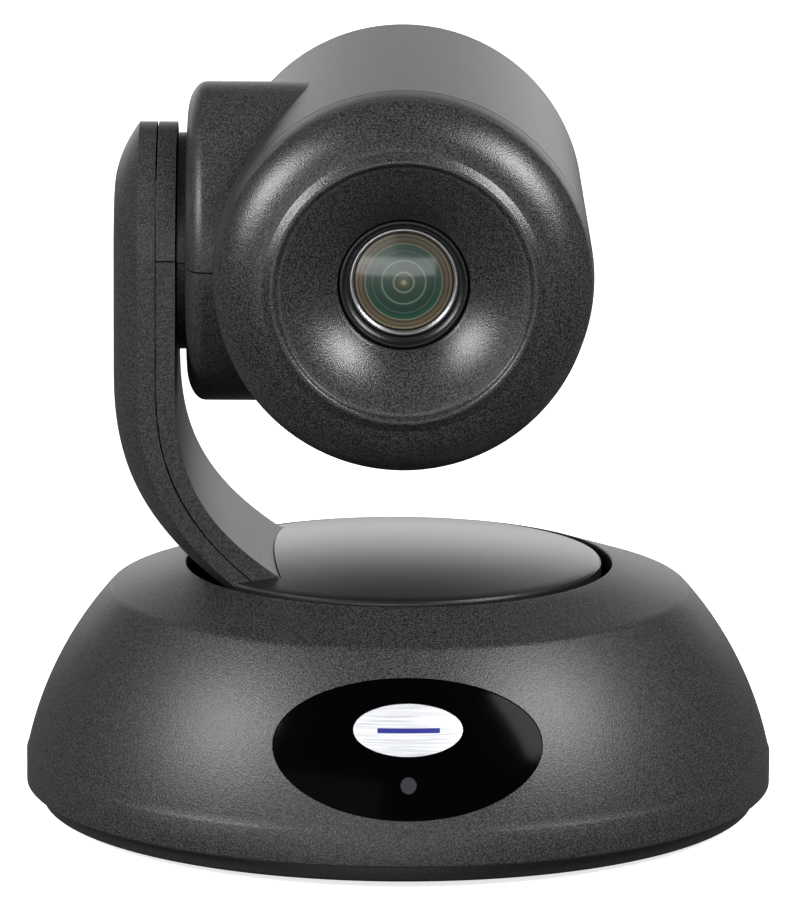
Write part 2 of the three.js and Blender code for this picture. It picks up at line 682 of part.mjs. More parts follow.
function yokeBracket() {
  const low = HUB_TOP + GAP;
  const strip = (z) => seamFace(z) - 2.2 + curveIn(z, -1.5, 2.65);
  const heights = armStations(low, TILT_Z).filter((z) => z < TILT_Z);
  heights.push(BRACKET.top);
  const outline = [
    ...heights.map((z) => [strip(z) + BRACKET.thickness, z]),
    ...heights.reverse().map((z) => [strip(z), z]),
  ];
  const upright = slab(outline, BRACKET.half);
  const flange = box(
    [strip(low), innerFace(low + BRACKET.thickness) - 1.15 * WALL - 1],
    [-BRACKET.half, BRACKET.half],
    [low, low + BRACKET.thickness],
  );
  const wires = bar("x", 6, [ARM_CREASE_X - 9, ARM_INNER_X], [0, TILT_Z], SIDES.ring);
  return geometryOf(cut(upright.add(flange), wires));
}

const SHAFT = { end: BOSS_CREASE_X + 13.5, bore: 5, flange: 15, flangeX: ARM_SEAM_X + 0.2 };

function tiltShaft() {
  const tube = bar("x", SHAFT_RADIUS, [SHAFT.flangeX, SHAFT.end], [0, TILT_Z], SIDES.ring);
  const flange = bar("x", SHAFT.flange, [SHAFT.flangeX, SHAFT.flangeX + 1.4], [0, TILT_Z], SIDES.ring);
  const bore = bar("x", SHAFT.bore, [SHAFT.flangeX - 5, SHAFT.end + 5], [0, TILT_Z], SIDES.ring);
  return geometryOf(cut(tube.add(flange), bore));
}

// ---- Head ---------------------------------------------------------------------------------------

const TILT_CENTRES = (GEAR_MODULE * (TILT_GEAR_TEETH + PINION_TEETH)) / 2;
const TILT_GEAR_X = BOSS_CREASE_X + 1.5;
const FRAME_X = [TILT_GEAR_X + GEAR_WIDTH + 1.5, TILT_GEAR_X + GEAR_WIDTH + 3.5];
const BEARING_X = [FRAME_X[0] + 0.2, FRAME_X[0] + 4.8];
const TILT_BEARING = { inner: SHAFT_RADIUS + GAP, outer: 11 };
const TILT_MOTOR_RADIUS = 10;
const SPLIT = -1; // the two head shells meet this far from the tilt axis

// The profile of a shape turned about Z becomes one turned about X, its height pointing to -X.
function turnedToArm(profile, sides) {
  return turned(profile, sides).rotateY(-Math.PI / 2);
}

// The outside of the boss and neck, shrunk by a wall: a cylinder with an elliptical shoulder.
function bossSolid(wall, depth) {
  const shoulder = [];
  const reach = -BOSS_END_X + BOSS_CREASE_X;
  for (let i = 0; i <= 5; i++) {
    const angle = (Math.PI / 2) * (i / 5);
    const radius = BOSS_RADIUS - 8.3 * (1 - Math.cos(angle));
    shoulder.push([radius - wall, -BOSS_CREASE_X + reach * Math.sin(angle) - wall]);
  }
  return solid(
    turnedToArm(
      [
        [0, depth],
        [BOSS_RADIUS - wall, depth],
        ...shoulder,
        [NECK_RADIUS - wall, -BOSS_END_X - wall],
        [NECK_RADIUS - wall, -NECK_END_X + (wall > 0 ? 2 : 0)],
        [0, -NECK_END_X + (wall > 0 ? 2 : 0)],
      ],
      SIDES.boss,
    ),
  );
}

function barrelSolid(wall, front, back) {
  const taper = 0.7;
  const profile = [
    [0, front],
    [BARREL_RADIUS - wall, front],
    [BARREL_RADIUS - taper - wall, -back],
    [0, -back],
  ];
  return solid(turnedToFront(profile, SIDES.barrel).translate(BARREL_OFFSET, 0, 0));
}

const REAR_ROUND = 5; // rounded rear edge of the barrel

function headShells() {
  const shellBack = BARREL_BACK - REAR_ROUND;
  const outside = barrelSolid(0, BARREL_FRONT, shellBack).add(bossSolid(0, BARREL_OFFSET + 10));
  const inside = barrelSolid(WALL, BARREL_FRONT + 5, shellBack + 5).add(bossSolid(WALL, BARREL_OFFSET + 10));
  const shell = cut(outside, inside);
  const wide = [-2 * BARREL_BACK, 2 * BARREL_BACK];
  const upper = shell.intersect(box(wide, wide, [SPLIT + GAP / 2, 2 * BARREL_RADIUS]));
  const lower = shell.intersect(box(wide, wide, [-2 * BARREL_RADIUS, SPLIT - GAP / 2]));
  return [geometryOf(upper), geometryOf(lower)];
}

function rearCap() {
  const radius = BARREL_RADIUS - 0.7;
  const front = -(BARREL_BACK - REAR_ROUND) - GAP;
  const corner = [];
  for (let i = 0; i <= 4; i++) {
    const angle = (Math.PI / 2) * (i / 4);
    corner.push([radius - REAR_ROUND * (1 - Math.cos(angle)), front - (REAR_ROUND - GAP) * Math.sin(angle)]);
  }
  const spigot = radius - WALL - GAP;
  const profile = [
    ...corner,
    [0, -BARREL_BACK],
    [0, -BARREL_BACK + WALL],
    [spigot - 1.6, -BARREL_BACK + WALL],
    [spigot - 1.6, front + 3],
    [spigot, front + 3],
    [spigot, front],
  ];
  return turnedToFront(profile, SIDES.barrel).translate(BARREL_OFFSET, 0, 0);
}

const BAND_FRONT = BARREL_FRONT + 9;
const FACE_RADIUS = BARREL_RADIUS - 0.8;
const RIDGE = { radius: 31.9, front: BAND_FRONT + 9.8 };
const DISH_FRONT = BAND_FRONT - 0.3; // the dish meets the lens hole here
const BEZEL_WALL = 2.2;

function trimRing() {
  const back = BARREL_FRONT + GAP;
  const front = BAND_FRONT - GAP;
  return turnedToFront(
    [
      [BARREL_RADIUS, back],
      [FACE_RADIUS, front],
      [FACE_RADIUS - WALL, front],
      [BARREL_RADIUS - WALL, back],
    ],
    SIDES.barrel,
  ).translate(BARREL_OFFSET, 0, 0);
}

function frontBezel() {
  const crown = arc([RIDGE.radius, RIDGE.front], [FACE_RADIUS, BAND_FRONT + 0.5], 1.9, 5);
  const dish = arc([LENS_HOLE_RADIUS, DISH_FRONT], [RIDGE.radius - 1.9, RIDGE.front - 0.9], -1.1, 4);
  const backCrown = [RIDGE.radius, RIDGE.front - BEZEL_WALL - 0.8];
  const profile = [
    ...dish,
    ...crown,
    [FACE_RADIUS, BAND_FRONT],
    [FACE_RADIUS - WALL, BAND_FRONT],
    [FACE_RADIUS - WALL - 0.6, BAND_FRONT + 0.6],
    backCrown,
    [LENS_HOLE_RADIUS + 1.5, DISH_FRONT - BEZEL_WALL],
    [LENS_HOLE_RADIUS, DISH_FRONT - BEZEL_WALL],
  ];
  return turnedToFront(profile, SIDES.barrel).translate(BARREL_OFFSET, 0, 0);
}

const LENS_TUBE = { outer: 19, inner: 16.6, back: -8 };
const RIM_FRONT = DISH_FRONT - 4.6;

function lensSurround() {
  const outer = LENS_HOLE_RADIUS - 0.4;
  const profile = [
    [outer, DISH_FRONT - 1.2],
    [outer - 0.7, DISH_FRONT - 0.9],
    [outer - 2.2, RIM_FRONT + 0.2],
    [outer - 2.2, RIM_FRONT - 1.6],
    [outer, RIM_FRONT - 1.6],
  ];
  return turnedToFront(profile, SIDES.boss).translate(BARREL_OFFSET, 0, 0);
}

function lensRetainingRing() {
  const outer = LENS_HOLE_RADIUS - 2.9;
  const profile = [
    [outer, RIM_FRONT - 1.5],
    [outer, RIM_FRONT],
    [outer - 0.5, RIM_FRONT + 0.2],
    [outer - 1, RIM_FRONT - 0.5],
    [outer - 1, RIM_FRONT - 1.5],
  ];
  return turnedToFront(profile, SIDES.boss).translate(BARREL_OFFSET, 0, 0);
}

// A lens turned about the optical axis, bulging to the front by one rise and to the back by another.
function lensElement(radius, front, thickness, frontRise, backRise) {
  const back = front - thickness;
  const profile = [
    ...arc([0, front + frontRise], [radius, front], frontRise / 4, 2),
    ...arc([radius, back], [0, back - backRise], backRise / 4, 2),
  ];
  return turnedToFront(profile, SIDES.ring).translate(BARREL_OFFSET, 0, 0);
}

function frontLens() {
  return lensElement(LENS_HOLE_RADIUS - 4.2, RIM_FRONT - 1, 3, 1.6, 0.8);
}

const ROD = { x: 13.6, radius: 1, clearance: 0.3 };

function lensBarrel() {
  const { outer, inner, back } = LENS_TUBE;
  const lip = LENS_HOLE_RADIUS - 3.4;
  const profile = [
    [inner, back],
    [outer, back],
    [outer, RIM_FRONT - 4.6],
    [LENS_HOLE_RADIUS - 0.4, RIM_FRONT - 1.6 - GAP],
    [lip, RIM_FRONT - 1.6 - GAP],
    [lip, RIM_FRONT - 6],
    [inner, RIM_FRONT - 6],
  ];
  return turnedToFront(profile, SIDES.boss).translate(BARREL_OFFSET, 0, 0);
}

function guideRod(side) {
  const at = [BARREL_OFFSET + side * ROD.x, 0];
  return geometryOf(bar("y", ROD.radius, [-(RIM_FRONT - 6.5), -LENS_TUBE.back - 0.5], at, 12));
}

const ZOOM = { front: 30, travel: 20, radius: 11 };
const FOCUS = { front: 8, travel: 6, radius: 9.5 };

// A sliding cell: a disc with a lens seat and two holes for the guide rods.
function lensCell(group) {
  const y = [-group.front, -group.front + 6];
  const disc = bar("y", LENS_TUBE.inner - 0.4, y, [BARREL_OFFSET, 0], SIDES.ring);
  const seat = bar("y", group.radius + 0.2, [y[0] - 1, y[1] + 1], [BARREL_OFFSET, 0], SIDES.ring);
  const holes = [-1, 1].map((side) =>
    bar("y", ROD.radius + ROD.clearance, [y[0] - 1, y[1] + 1], [BARREL_OFFSET + side * ROD.x, 0], 12),
  );
  return geometryOf(cut(disc, seat, ...holes));
}

function cellLens(group) {
  return lensElement(group.radius, group.front - 1, 4, 0.8, 0.8);
}

function lensMotor(side, front) {
  const can = bar("y", 4, [-front, -front + 14], [BARREL_OFFSET + 8, side * (LENS_TUBE.outer + 3)], 20);
  const foot = box(
    [BARREL_OFFSET + 5, BARREL_OFFSET + 11],
    [-front + 1, -front + 13],
    side > 0 ? [LENS_TUBE.outer - 0.5, LENS_TUBE.outer + 2] : [-LENS_TUBE.outer - 2, -LENS_TUBE.outer + 0.5],
  );
  const clear = bar("y", LENS_TUBE.outer + GAP, [-front - 1, -front + 15], [BARREL_OFFSET, 0], SIDES.ring);
  return geometryOf(cut(can.add(foot), clear));
}

function sensorBoard() {
  const y = [-LENS_TUBE.back + GAP, -LENS_TUBE.back + GAP + 1.6];
  const board = box([BARREL_OFFSET - 18, BARREL_OFFSET + 18], y, [-17, 17]);
  const chip = box([BARREL_OFFSET - 6, BARREL_OFFSET + 6], [y[1] - 0.2, y[1] + 2], [-6, 6]);
  return geometryOf(board.add(chip));
}

function headFrame() {
  const x = FRAME_X;
  const plate = bar("x", BOSS_RADIUS - WALL - 1, x, [0, 0], SIDES.ring);
  const collar = bar("x", TILT_BEARING.outer + 1.5, [x[1] - 0.1, BEARING_X[1] + 1], [0, 0], SIDES.ring);
  const shaftHole = bar("x", SHAFT_RADIUS + 1.5, [x[0] - 1, BEARING_X[1] + 2], [0, 0], SIDES.small);
  const seat = bar("x", TILT_BEARING.outer + GAP, [x[0] + 0.2 - GAP, BEARING_X[1] + 2], [0, 0], SIDES.ring);
  const motorHole = bar("x", 5, [x[0] - 1, x[1] + 1], [TILT_CENTRES, 0], SIDES.ring);
  const tray = box([x[0], BARREL_OFFSET + 24], [-20, 20], [-LENS_TUBE.outer - 10.5, -LENS_TUBE.outer - 8.5]);
  const saddle = box(
    [BARREL_OFFSET - 14, BARREL_OFFSET - 4],
    [-28, 0],
    [-LENS_TUBE.outer - 9, -LENS_TUBE.outer + 6],
  );
  const tube = bar("y", LENS_TUBE.outer + GAP, [-60, 30], [BARREL_OFFSET, 0], 48);
  const edge = box([x[0] - 1, x[1] + 1], [-60, 60], [-60, -LENS_TUBE.outer - 10.5]);
  return geometryOf(cut(join(plate, collar, tray, saddle.subtract(tube)), shaftHole, seat, motorHole, edge));
}

function tiltBearing() {
  const { inner, outer } = TILT_BEARING;
  const ring = turnedToArm(
    [
      [inner, -BEARING_X[1]],
      [outer, -BEARING_X[1]],
      [outer, -BEARING_X[0] - GAP],
      [inner, -BEARING_X[0] - GAP],
    ],
    SIDES.ring,
  );
  return ring;
}

function tiltMotor() {
  const can = motorCan(TILT_MOTOR_RADIUS, -FRAME_X[1] - 16, -FRAME_X[1] - GAP, -FRAME_X[0], [0, 0]);
  return geometryOf(can).rotateY(-Math.PI / 2).translate(0, TILT_CENTRES, 0);
}

// The tilt motor stands behind the axis, so the gears mesh along +Y; the tooth angles run from
// -Z towards +Y once the gear has been laid on its side.
function tiltPinion() {
  const low = -TILT_GEAR_X - GEAR_WIDTH - 0.4;
  const body = pinion(-Math.PI / 2, low, -FRAME_X[1] - 12);
  return geometryOf(body).rotateY(-Math.PI / 2).translate(0, TILT_CENTRES, 0);
}

function tiltGear() {
  const phase = Math.PI / 2 + Math.PI / TILT_GEAR_TEETH;
  const blank = gearBlank(TILT_GEAR_TEETH, phase, GEAR_WIDTH).translate(0, 0, -TILT_GEAR_X - GEAR_WIDTH);
  const bore = bar("z", SHAFT_RADIUS + GAP, [0, 2 * BARREL_BACK], [0, 0], SIDES.ring);
  return geometryOf(cut(solid(blank), bore)).rotateY(-Math.PI / 2).translate(0, 0, TILT_Z);
}

// The wires: up through the hub, along the arm beside the bracket and in through the tilt shaft.
function headHarness() {
  const side = HARNESS.side;
  const clearOfWall = (z) => innerFace(z) - 1.15 * WALL - HARNESS.radius - GAP;
  const inArm = (z) => new THREE.Vector3(Math.min(seamFace(z) + 0.4, clearOfWall(z)), side, z);
  const points = [
    new THREE.Vector3(0, 0, HUB_TOP - 16),
    new THREE.Vector3(0, 0, HUB_TOP - 3.5),
    new THREE.Vector3(-6, 4, HARNESS.lane),
    new THREE.Vector3(-18, 14, HARNESS.lane),
    new THREE.Vector3(innerFace(OPENING_Z) - 0.5, side, HARNESS.lane),
    new THREE.Vector3(innerFace(OPENING_Z) - 7.4, side, HARNESS.lane + 1.3),
    ...[0, 0.15, 0.3, 0.45, 0.6, 0.8].map((share) => inArm(OPENING_Z + 5 + share * (ARM_BEND_Z - OPENING_Z - 5))),
    inArm(TILT_Z - 22),
    new THREE.Vector3(ARM_SEAM_X - 2.5, side - 1.2, TILT_Z - 12),
    new THREE.Vector3(ARM_SEAM_X - 4.8, 12, TILT_Z - 4),
    new THREE.Vector3(ARM_SEAM_X - 5, 3, TILT_Z - 0.2),
    new THREE.Vector3(ARM_SEAM_X - 3.5, 0, TILT_Z),
    new THREE.Vector3(ARM_SEAM_X + 2, 0, TILT_Z),
    new THREE.Vector3(SHAFT.end - 2, 0, TILT_Z),
  ];
  const route = new THREE.CatmullRomCurve3(points, false, "centripetal");
  const section = new THREE.Shape();
  section.absarc(0, 0, HARNESS.radius, 0, wholeTurn, false);
  return new THREE.ExtrudeGeometry(section, { steps: 36, curveSegments: 3, extrudePath: route });
}

// ---- Assembly -----------------------------------------------------------------------------------

const base = new THREE.Group();
piece(base, "base_pan", "black", basePan());
FOOT.angles.forEach((angle, i) => piece(base, `foot_${i + 1}`, "rubber", foot(angle)));
COVER_SCREW.angles.forEach((angle, i) => piece(base, `cover_screw_${i + 1}`, "steel", coverScrew(angle)));
piece(base, "tripod_insert", "brass", tripodInsert());
piece(base, "base_cover", "shell", baseCover());
piece(base, "badge_window", "gloss", badgeWindow());
piece(base, "nameplate", "plate", nameplate());
piece(base, "indicator_lens", "glass", indicatorLens());
piece(base, "status_board", "board", statusBoard());
piece(base, "connector_plate", "black", connectorPlate());
Object.keys(SOCKETS).forEach((name) => piece(base, name, "black", socketBody(name)));
piece(base, "main_board", "board", mainBoard());
piece(base, "pan_frame", "black", panFrame());
piece(base, "pan_bearing", "steel", panBearing());
piece(base, "pan_motor", "steel", panMotor());
piece(base, "pan_pinion", "brass", panPinion());
scene.add(base);

const turntable = new THREE.Group();
const [upperInner, lowerInner] = armInnerCovers();
piece(turntable, "turntable_hub", "steel", turntableHub());
piece(turntable, "pan_gear", "gear", panGear());
piece(turntable, "turntable_disc", "shell", turntableDisc());
piece(turntable, "yoke_bracket", "steel", yokeBracket());
piece(turntable, "arm_outer_cover", "shell", armOuterCover());
piece(turntable, "arm_upper_inner_cover", "shell", upperInner);
piece(turntable, "arm_lower_inner_cover", "shell", lowerInner);
piece(turntable, "tilt_shaft", "steel", tiltShaft());
piece(turntable, "tilt_gear", "gear", tiltGear());
piece(turntable, "head_harness", "rubber", headHarness());
scene.add(turntable);

const head = new THREE.Group();
head.position.z = TILT_Z;
const [upperShell, lowerShell] = headShells();
piece(head, "head_upper_shell", "shell", upperShell);
piece(head, "head_lower_shell", "shell", lowerShell);
piece(head, "rear_cap", "shell", rearCap());
piece(head, "trim_ring", "shell", trimRing());
piece(head, "front_bezel", "shell", frontBezel());
piece(head, "lens_surround", "black", lensSurround());
piece(head, "lens_retaining_ring", "steel", lensRetainingRing());
piece(head, "front_lens", "glass", frontLens());
piece(head, "lens_barrel", "black", lensBarrel());
piece(head, "guide_rod_left", "steel", guideRod(-1));
piece(head, "guide_rod_right", "steel", guideRod(1));
piece(head, "zoom_motor", "steel", lensMotor(1, 40));
piece(head, "focus_motor", "steel", lensMotor(1, 14));
piece(head, "sensor_board", "board", sensorBoard());
piece(head, "head_frame", "steel", headFrame());
piece(head, "tilt_bearing", "steel", tiltBearing());
piece(head, "tilt_motor", "steel", tiltMotor());
piece(head, "tilt_pinion", "brass", tiltPinion());
piece(head, "zoom_cell", "black", lensCell(ZOOM));
piece(head, "zoom_lens", "glass", cellLens(ZOOM));
piece(head, "focus_cell", "black", lensCell(FOCUS));
piece(head, "focus_lens", "glass", cellLens(FOCUS));
scene.add(head);

export default scene;
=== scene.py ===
"""A pan-tilt-zoom conference camera, put together in the order its maker would: the base and its
sockets, the turntable with its arm, then the head and its lens. Sizes are in millimetres and are
turned to metres as each piece is drawn."""
import math

import bpy
from mathutils import Matrix, Vector


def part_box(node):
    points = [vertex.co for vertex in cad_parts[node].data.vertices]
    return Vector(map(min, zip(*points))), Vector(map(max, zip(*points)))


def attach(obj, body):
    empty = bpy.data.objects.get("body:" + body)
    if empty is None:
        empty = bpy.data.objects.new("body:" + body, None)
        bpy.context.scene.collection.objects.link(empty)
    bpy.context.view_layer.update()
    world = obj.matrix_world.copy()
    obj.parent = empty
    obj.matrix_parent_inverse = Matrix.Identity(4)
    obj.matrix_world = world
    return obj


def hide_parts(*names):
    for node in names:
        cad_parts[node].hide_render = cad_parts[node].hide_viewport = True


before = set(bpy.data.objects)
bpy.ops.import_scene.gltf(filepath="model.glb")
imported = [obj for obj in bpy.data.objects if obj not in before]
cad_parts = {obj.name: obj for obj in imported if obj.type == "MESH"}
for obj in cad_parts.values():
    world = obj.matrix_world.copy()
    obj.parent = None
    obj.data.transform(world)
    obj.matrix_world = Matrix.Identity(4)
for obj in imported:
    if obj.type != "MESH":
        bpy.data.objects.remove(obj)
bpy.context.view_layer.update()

MM = 0.001


# ---- The studio ----------------------------------------------------------------------------------
# A pale table with a low, wide softbox behind it, one higher on each side in front, a dim fill to the
# front left and a low card in front. The camera is far back with a long lens, a little above.
LENS_AXIS_PITCH = math.radians(11.55)
CAMERA_TURN = math.radians(0.15)
CAMERA_ROLL = math.radians(0.29)
CAMERA_DISTANCE = 2229
CAMERA_ASIDE = -0.68
LOOK_AT_HEIGHT = 89.3

camera = bpy.data.objects.new("camera", bpy.data.cameras.new("camera"))
bpy.context.scene.collection.objects.link(camera)
camera.data.lens = 360
camera.data.sensor_width = 36
camera.data.clip_end = 20
back = CAMERA_DISTANCE * math.cos(LENS_AXIS_PITCH)
camera.location = Vector(
    (
        CAMERA_ASIDE - back * math.sin(CAMERA_TURN),
        -back * math.cos(CAMERA_TURN),
        LOOK_AT_HEIGHT + CAMERA_DISTANCE * math.sin(LENS_AXIS_PITCH),
    )
) * MM
camera.rotation_euler = (
    Matrix.Rotation(-CAMERA_TURN, 3, "Z")
    @ Matrix.Rotation(math.pi / 2 - LENS_AXIS_PITCH, 3, "X")
    @ Matrix.Rotation(CAMERA_ROLL, 3, "Z")
).to_euler()
bpy.context.scene.camera = camera


def srgb(colour):
    """A linear colour from an sRGB hex value."""
    parts = [int(colour[i : i + 2], 16) / 255 for i in (1, 3, 5)]
    return tuple(c / 12.92 if c <= 0.04045 else ((c + 0.055) / 1.055) ** 2.4 for c in parts) + (1,)


def softbox(name, place, size, power, towards=(0, 0, 0.1)):
    """An area light that faces a point of the object."""
    light = bpy.data.lights.new(name, "AREA")
    light.shape = "RECTANGLE"
    light.size, light.size_y = size
    light.energy = power
    holder = bpy.data.objects.new(name, light)
    bpy.context.scene.collection.objects.link(holder)
    holder.location = place
    holder.rotation_euler = (Vector(towards) - Vector(place)).to_track_quat("-Z", "Y").to_euler()


softbox("low_behind", (0, 1.35, 0.28), (1.5, 0.46), 3.9)
softbox("left", (-0.92, -0.51, 0.68), (0.56, 0.46), 15)
softbox("right", (0.82, -0.54, 0.82), (0.52, 0.5), 17)
softbox("front_fill", (-0.5, -1.2, 0.38), (0.8, 0.5), 1.2, (0, 0, 0.03))
softbox("low_front", (-0.1, -1.2, 0.13), (1.1, 0.24), 2.8, (0, 0, 0.05))

world = bpy.data.worlds.new("studio")
bpy.context.scene.world = world
world.use_nodes = True
world.node_tree.nodes["Background"].inputs["Color"].default_value = srgb("#ffffff")
world.node_tree.nodes["Background"].inputs["Strength"].default_value = 0.16
bpy.context.scene.view_settings.view_transform = "Standard"


def add_node(tree, kind, values=None, links=None, **settings):
    """Adds a shader node with its socket values, its incoming links and its settings."""
    made = tree.nodes.new(kind)
    for key, value in settings.items():
        setattr(made, key, value)
    for socket, value in (values or {}).items():
        made.inputs[socket].default_value = value
    for socket, source in (links or {}).items():
        tree.links.new(source, made.inputs[socket])
    return made


def principled(name, **values):
    """A new material and its Principled shader, with constants set on the shader's own sockets."""
    material = bpy.data.materials.new(name)
    material.use_nodes = True
    shader = material.node_tree.nodes["Principled BSDF"]
    for socket, value in values.items():
        shader.inputs[socket.replace("_", " ")].default_value = value
    return material, shader


bpy.ops.object.select_all(action="DESELECT")
bpy.ops.mesh.primitive_plane_add(size=12, location=(0, 0, 0))
table = bpy.context.object
table.name = "table"
table_paint, table_shader = principled("white_laminate", Roughness=0.6)
table_shader.inputs["Base Color"].default_value = srgb("#fafafa")
table_shader.inputs["Emission Color"].default_value = srgb("#ffffff")
table_shader.inputs["Emission Strength"].default_value = 0.75
table.visible_glossy = False
table.visible_diffuse = False
table.data.materials.append(table_paint)


# ---- Base pan ------------------------------------------------------------------------------------
# A pressed steel floor with a turned-up rim, powder coated black. It is screwed up into the cover
# and has round recesses for the feet and a hole in the middle for the tripod insert.
def rounded(corners, segments=5):
    """A line of (radius, height) points. A third number rounds that corner by that radius."""
    line = []
    for i, corner in enumerate(corners):
        here = Vector(corner[:2])
        if len(corner) < 3 or i in (0, len(corners) - 1):
            line.append(tuple(here))
            continue
        before = (Vector(corners[i - 1][:2]) - here).normalized()
        after = (Vector(corners[i + 1][:2]) - here).normalized()
        half = before.angle(after) / 2
        reach = corner[2] / math.tan(half)
        start, end = here + before * reach, here + after * reach
        centre = here + (before + after).normalized() * corner[2] / math.sin(half)
        turn_by = (start - centre).angle_signed(end - centre)
        for step in range(segments + 1):
            spoke = (start - centre).to_3d()
            spoke.rotate(Matrix.Rotation(-turn_by * step / segments, 3, "Z"))
            line.append(tuple(centre + spoke.to_2d()))
    return line


# Which way a profile's radius and height run for a piece turned about each axis.
TURNING = {
    "Z": (lambda r, h: (r, 0, h), (0, 0, 1)),
    "front": (lambda r, h: (r, -h, 0), (0, 1, 0)),
    "arm": (lambda r, h: (-h, 0, r), (1, 0, 0)),
}


def outline_mesh(name, points):
    """A new object in edit mode, its outline drawn by extruding one vertex from point to point."""
    bpy.ops.object.select_all(action="DESELECT")
    bpy.ops.mesh.primitive_plane_add(size=MM, enter_editmode=True)
    bpy.context.object.name = name
    bpy.ops.mesh.merge(type="CENTER")
    bpy.ops.transform.translate(value=points[0])
    for here, there in zip(points, points[1:]):
        step = tuple(b - a for a, b in zip(here, there))
        bpy.ops.mesh.extrude_region_move(TRANSFORM_OT_translate={"value": step})
    return bpy.context.object


def turn(name, profile, about="Z", centre=(0, 0, 0), steps=160):
    """A piece turned on a lathe: its closed profile is drawn and spun all the way round."""
    place, axis = TURNING[about]
    ring = list(profile)
    if ring[0][0] > 1e-6 or ring[-1][0] > 1e-6:
        ring.append(ring[0])
    middle = Vector(centre) * MM
    points = [tuple(middle + Vector(place(r, h)) * MM) for r, h in ring]
    piece = outline_mesh(name, points)
    bpy.ops.mesh.select_all(action="SELECT")
    bpy.ops.mesh.spin(steps=steps, angle=2 * math.pi, center=middle, axis=axis)
    return finish_mesh(piece)


# Edges that turn by more than this stay sharp.
SHARP = math.radians(30)


def finish_mesh(piece):
    """Closes seams and poles, turns the faces outwards and smooths all but the sharp edges."""
    bpy.ops.mesh.select_all(action="SELECT")
    bpy.ops.mesh.remove_doubles(threshold=2e-6)
    bpy.ops.mesh.dissolve_degenerate(threshold=1e-7)
    bpy.ops.mesh.select_all(action="SELECT")
    bpy.ops.mesh.normals_make_consistent(inside=False)
    bpy.ops.object.mode_set(mode="OBJECT")
    bpy.ops.object.shade_smooth_by_angle(angle=SHARP)
    return piece


def pick(piece):
    """Makes a piece the only one selected, and the active one."""
    bpy.ops.object.select_all(action="DESELECT")
    piece.select_set(True)
    bpy.context.view_layer.objects.active = piece


def carve(piece, tool, operation="DIFFERENCE"):
    """Cuts, joins or keeps what a tool covers, and removes the tool."""
    pick(piece)
    change = piece.modifiers.new("carve", "BOOLEAN")
    change.operation = operation
    change.solver = "EXACT"
    change.object = tool
    bpy.ops.object.modifier_apply(modifier=change.name)
    bpy.data.objects.remove(tool)
    return piece


def rod(radius, low, high, at=(0, 0), about="Z", sides=48):
    """A straight round bar for drilling, its ends at two heights along its axis."""
    bpy.ops.object.select_all(action="DESELECT")
    bpy.ops.mesh.primitive_cylinder_add(vertices=sides, radius=radius * MM, depth=(high - low) * MM)
    piece = bpy.context.object
    middle = (low + high) / 2
    if about == "Z":
        piece.location = Vector((at[0], at[1], middle)) * MM
    if about == "front":
        piece.rotation_euler = (math.pi / 2, 0, 0)
        piece.location = Vector((at[0], -middle, at[1])) * MM
    if about == "arm":
        piece.rotation_euler = (0, math.pi / 2, 0)
        piece.location = Vector((-middle, at[0], at[1])) * MM
    bpy.ops.object.transform_apply(location=True, rotation=True, scale=True)
    return piece


def block(x, y, z, edge=0.0, name="block"):
    """A box between two stations on each axis, its edges rounded by a bevel."""
    bpy.ops.object.select_all(action="DESELECT")
    bpy.ops.mesh.primitive_cube_add(size=MM)
    piece = bpy.context.object
    piece.name = name
    piece.scale = (x[1] - x[0], y[1] - y[0], z[1] - z[0])
    piece.location = Vector((x[0] + x[1], y[0] + y[1], z[0] + z[1])) * MM / 2
    bpy.ops.object.transform_apply(location=True, rotation=True, scale=True)
    if edge:
        bpy.ops.object.mode_set(mode="EDIT")
        bpy.ops.mesh.bevel(offset=edge * MM, segments=2, affect="EDGES")
        bpy.ops.object.mode_set(mode="OBJECT")
        bpy.ops.object.shade_smooth_by_angle(angle=math.radians(40))
    return piece


def fit(piece, material, body, slot, *nodes):
    """Gives a finished piece its material and its body, and hides the CAD nodes it stands for. The slot is
    not used.
    """
    piece.data.materials.clear()
    piece.data.materials.append(material)
    pick(piece)
    bpy.ops.object.shade_smooth_by_angle(angle=SHARP)
    if nodes:
        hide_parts(*nodes)
    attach(piece, body)
    return piece


def grained(name, grain, low, high, roughness, depth, **values):
    """A moulded surface: a fine grain that changes its colour a little and breaks up its gloss."""
    material, shader = principled(name, Roughness=roughness, **values)
    tree = material.node_tree
    place = add_node(tree, "ShaderNodeTexCoord")
    noise = add_node(
        tree,
        "ShaderNodeTexNoise",
        {"Scale": 1 / (grain * MM), "Detail": 1.5, "Roughness": 0.6},
        {"Vector": place.outputs["Object"]},
    )
    tint = add_node(tree, "ShaderNodeValToRGB", None, {"Fac": noise.outputs["Fac"]})
    tint.color_ramp.elements[0].color = srgb(low)
    tint.color_ramp.elements[0].position = 0.4
    tint.color_ramp.elements[1].color = srgb(high)
    tint.color_ramp.elements[1].position = 0.66
    bump = add_node(
        tree,
        "ShaderNodeBump",
        {"Strength": 1.0, "Distance": depth * MM},
        {"Height": noise.outputs["Fac"]},
    )
    tree.links.new(tint.outputs["Color"], shader.inputs["Base Color"])
    tree.links.new(bump.outputs["Normal"], shader.inputs["Normal"])
    return material


PAN_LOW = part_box("base_pan")[0][2] / MM
PAN_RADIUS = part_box("base_pan")[1][0] / MM
COVER_LOW = PAN_LOW + 4.4
FOOT_RING = PAN_RADIUS - 14
CORNERS = [45, 135, 225, 315]
SCREW_RING = 78
SCREW_ANGLES = [30, 150, 210, 330]


def on_ring(radius, degrees):
    angle = math.radians(degrees)
    return (radius * math.cos(angle), radius * math.sin(angle))


# Powder coat on steel: a faint orange-peel texture, satin.
powder_coat = grained("black_powder_coat", 0.5, "#161617", "#242425", 0.45, 0.02)

